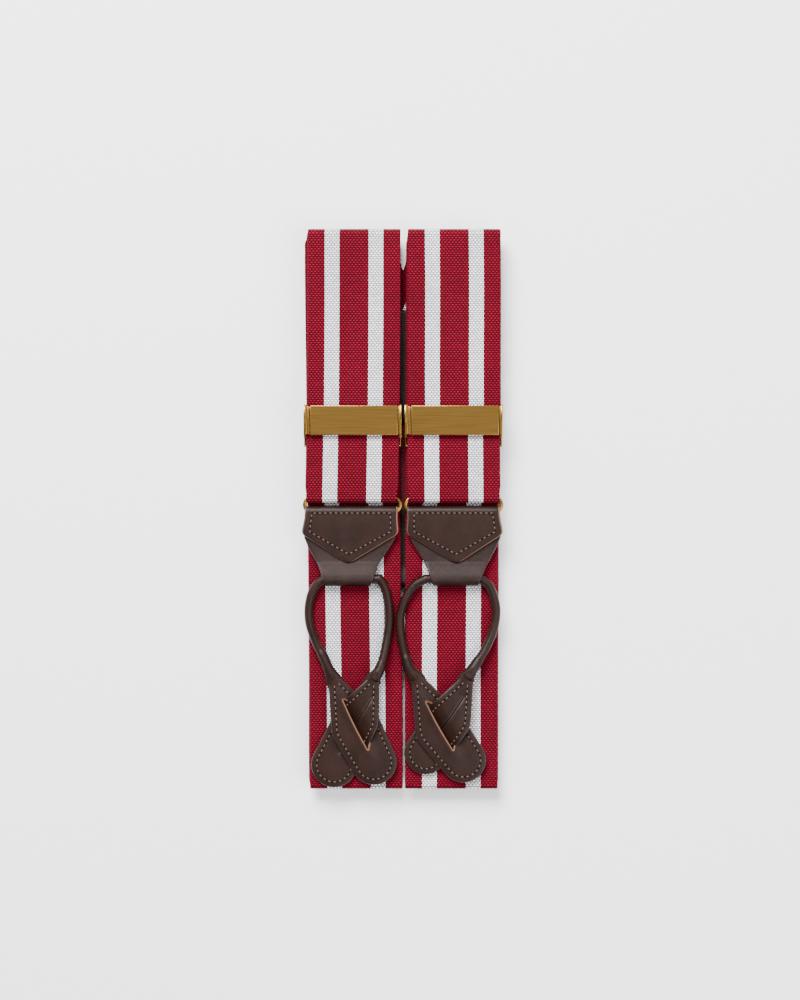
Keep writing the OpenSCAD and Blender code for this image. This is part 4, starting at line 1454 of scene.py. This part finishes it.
def area_light(name, size, energy, place):
    """A square light that looks at the middle of the part."""
    data = bpy.data.lights.new(name, "AREA")
    data.shape = "RECTANGLE"
    data.size, data.size_y = size, size
    data.energy = energy
    obj = bpy.data.objects.new(name, data)
    bpy.context.scene.collection.objects.link(obj)
    obj.location = place
    obj.rotation_euler = (-Vector(place)).to_track_quat("-Z", "Y").to_euler()


class SUSPENDERS_OT_stage(bpy.types.Operator):
    """Build the floor, the soft studio light and the camera that looks straight down"""
    bl_idname = "suspenders.stage"
    bl_label = "Stage"

    def execute(self, context):
        bpy.ops.object.select_all(action="DESELECT")
        bpy.ops.mesh.primitive_plane_add(size=6.0, location=(0, 0, -FLOOR_DROP * MM))
        floor = context.active_object
        floor.name = "floor"
        apply_transform()
        floor.data.materials.append(finish("floor"))
        world = bpy.data.worlds.new("studio")
        world.use_nodes = True
        sky = world.node_tree.nodes["Background"]
        sky.inputs[0].default_value = colour("#ffffff")
        sky.inputs[1].default_value = SKY_STRENGTH
        context.scene.world = world
        for light in LIGHTS:
            area_light(*light)
        camera_data = bpy.data.cameras.new("camera")
        camera_data.sensor_fit = "HORIZONTAL"
        camera_data.sensor_width = SENSOR_WIDTH
        camera_data.lens = SENSOR_WIDTH * CAMERA_HEIGHT / VIEW_WIDTH
        camera_data.clip_end = 20.0
        camera = bpy.data.objects.new("camera", camera_data)
        context.scene.collection.objects.link(camera)
        top_z = STRAP_HIGH[2] * MM
        camera.location = (VIEW_CENTRE[0] * MM, VIEW_CENTRE[1] * MM, top_z + CAMERA_HEIGHT * MM)
        context.scene.camera = camera
        return {"FINISHED"}


class SUSPENDERS_PT_panel(bpy.types.Panel):
    """Lists the pieces that can be built"""
    bl_label = "Suspenders"
    bl_idname = "SUSPENDERS_PT_panel"
    bl_space_type = "VIEW_3D"
    bl_region_type = "UI"
    bl_category = "Suspenders"

    def draw(self, context):
        for group in ("webbing", "leather", "brass"):
            box = self.layout.box()
            for name in getattr(context.scene, group).__annotations__:
                box.prop(getattr(context.scene, group), name)
        for operator in OPERATORS:
            self.layout.operator(operator.bl_idname)


SETTINGS = {"webbing": WebbingSettings, "leather": LeatherSettings, "brass": BrassSettings}
OPERATORS = (SUSPENDERS_OT_stage, SUSPENDERS_OT_cords, SUSPENDERS_OT_webbing, SUSPENDERS_OT_adjusters,
             SUSPENDERS_OT_rings, SUSPENDERS_OT_ends, SUSPENDERS_OT_tabs, SUSPENDERS_OT_back)


def register():
    for cls in (*SETTINGS.values(), *OPERATORS, SUSPENDERS_PT_panel):
        bpy.utils.register_class(cls)
    for name, cls in SETTINGS.items():
        setattr(bpy.types.Scene, name, bpy.props.PointerProperty(type=cls))


def unregister():
    for name in SETTINGS:
        delattr(bpy.types.Scene, name)
    for cls in (SUSPENDERS_PT_panel, *reversed(OPERATORS), *SETTINGS.values()):
        bpy.utils.unregister_class(cls)


def main():
    register()
    bpy.ops.suspenders.stage()
    bpy.ops.suspenders.cords()
    bpy.ops.suspenders.webbing()
    bpy.ops.suspenders.adjusters()
    bpy.ops.suspenders.rings()
    bpy.ops.suspenders.ends()
    bpy.ops.suspenders.tabs()
    bpy.ops.suspenders.back()
    bpy.context.view_layer.update()


if __name__ == "__main__":
    main()
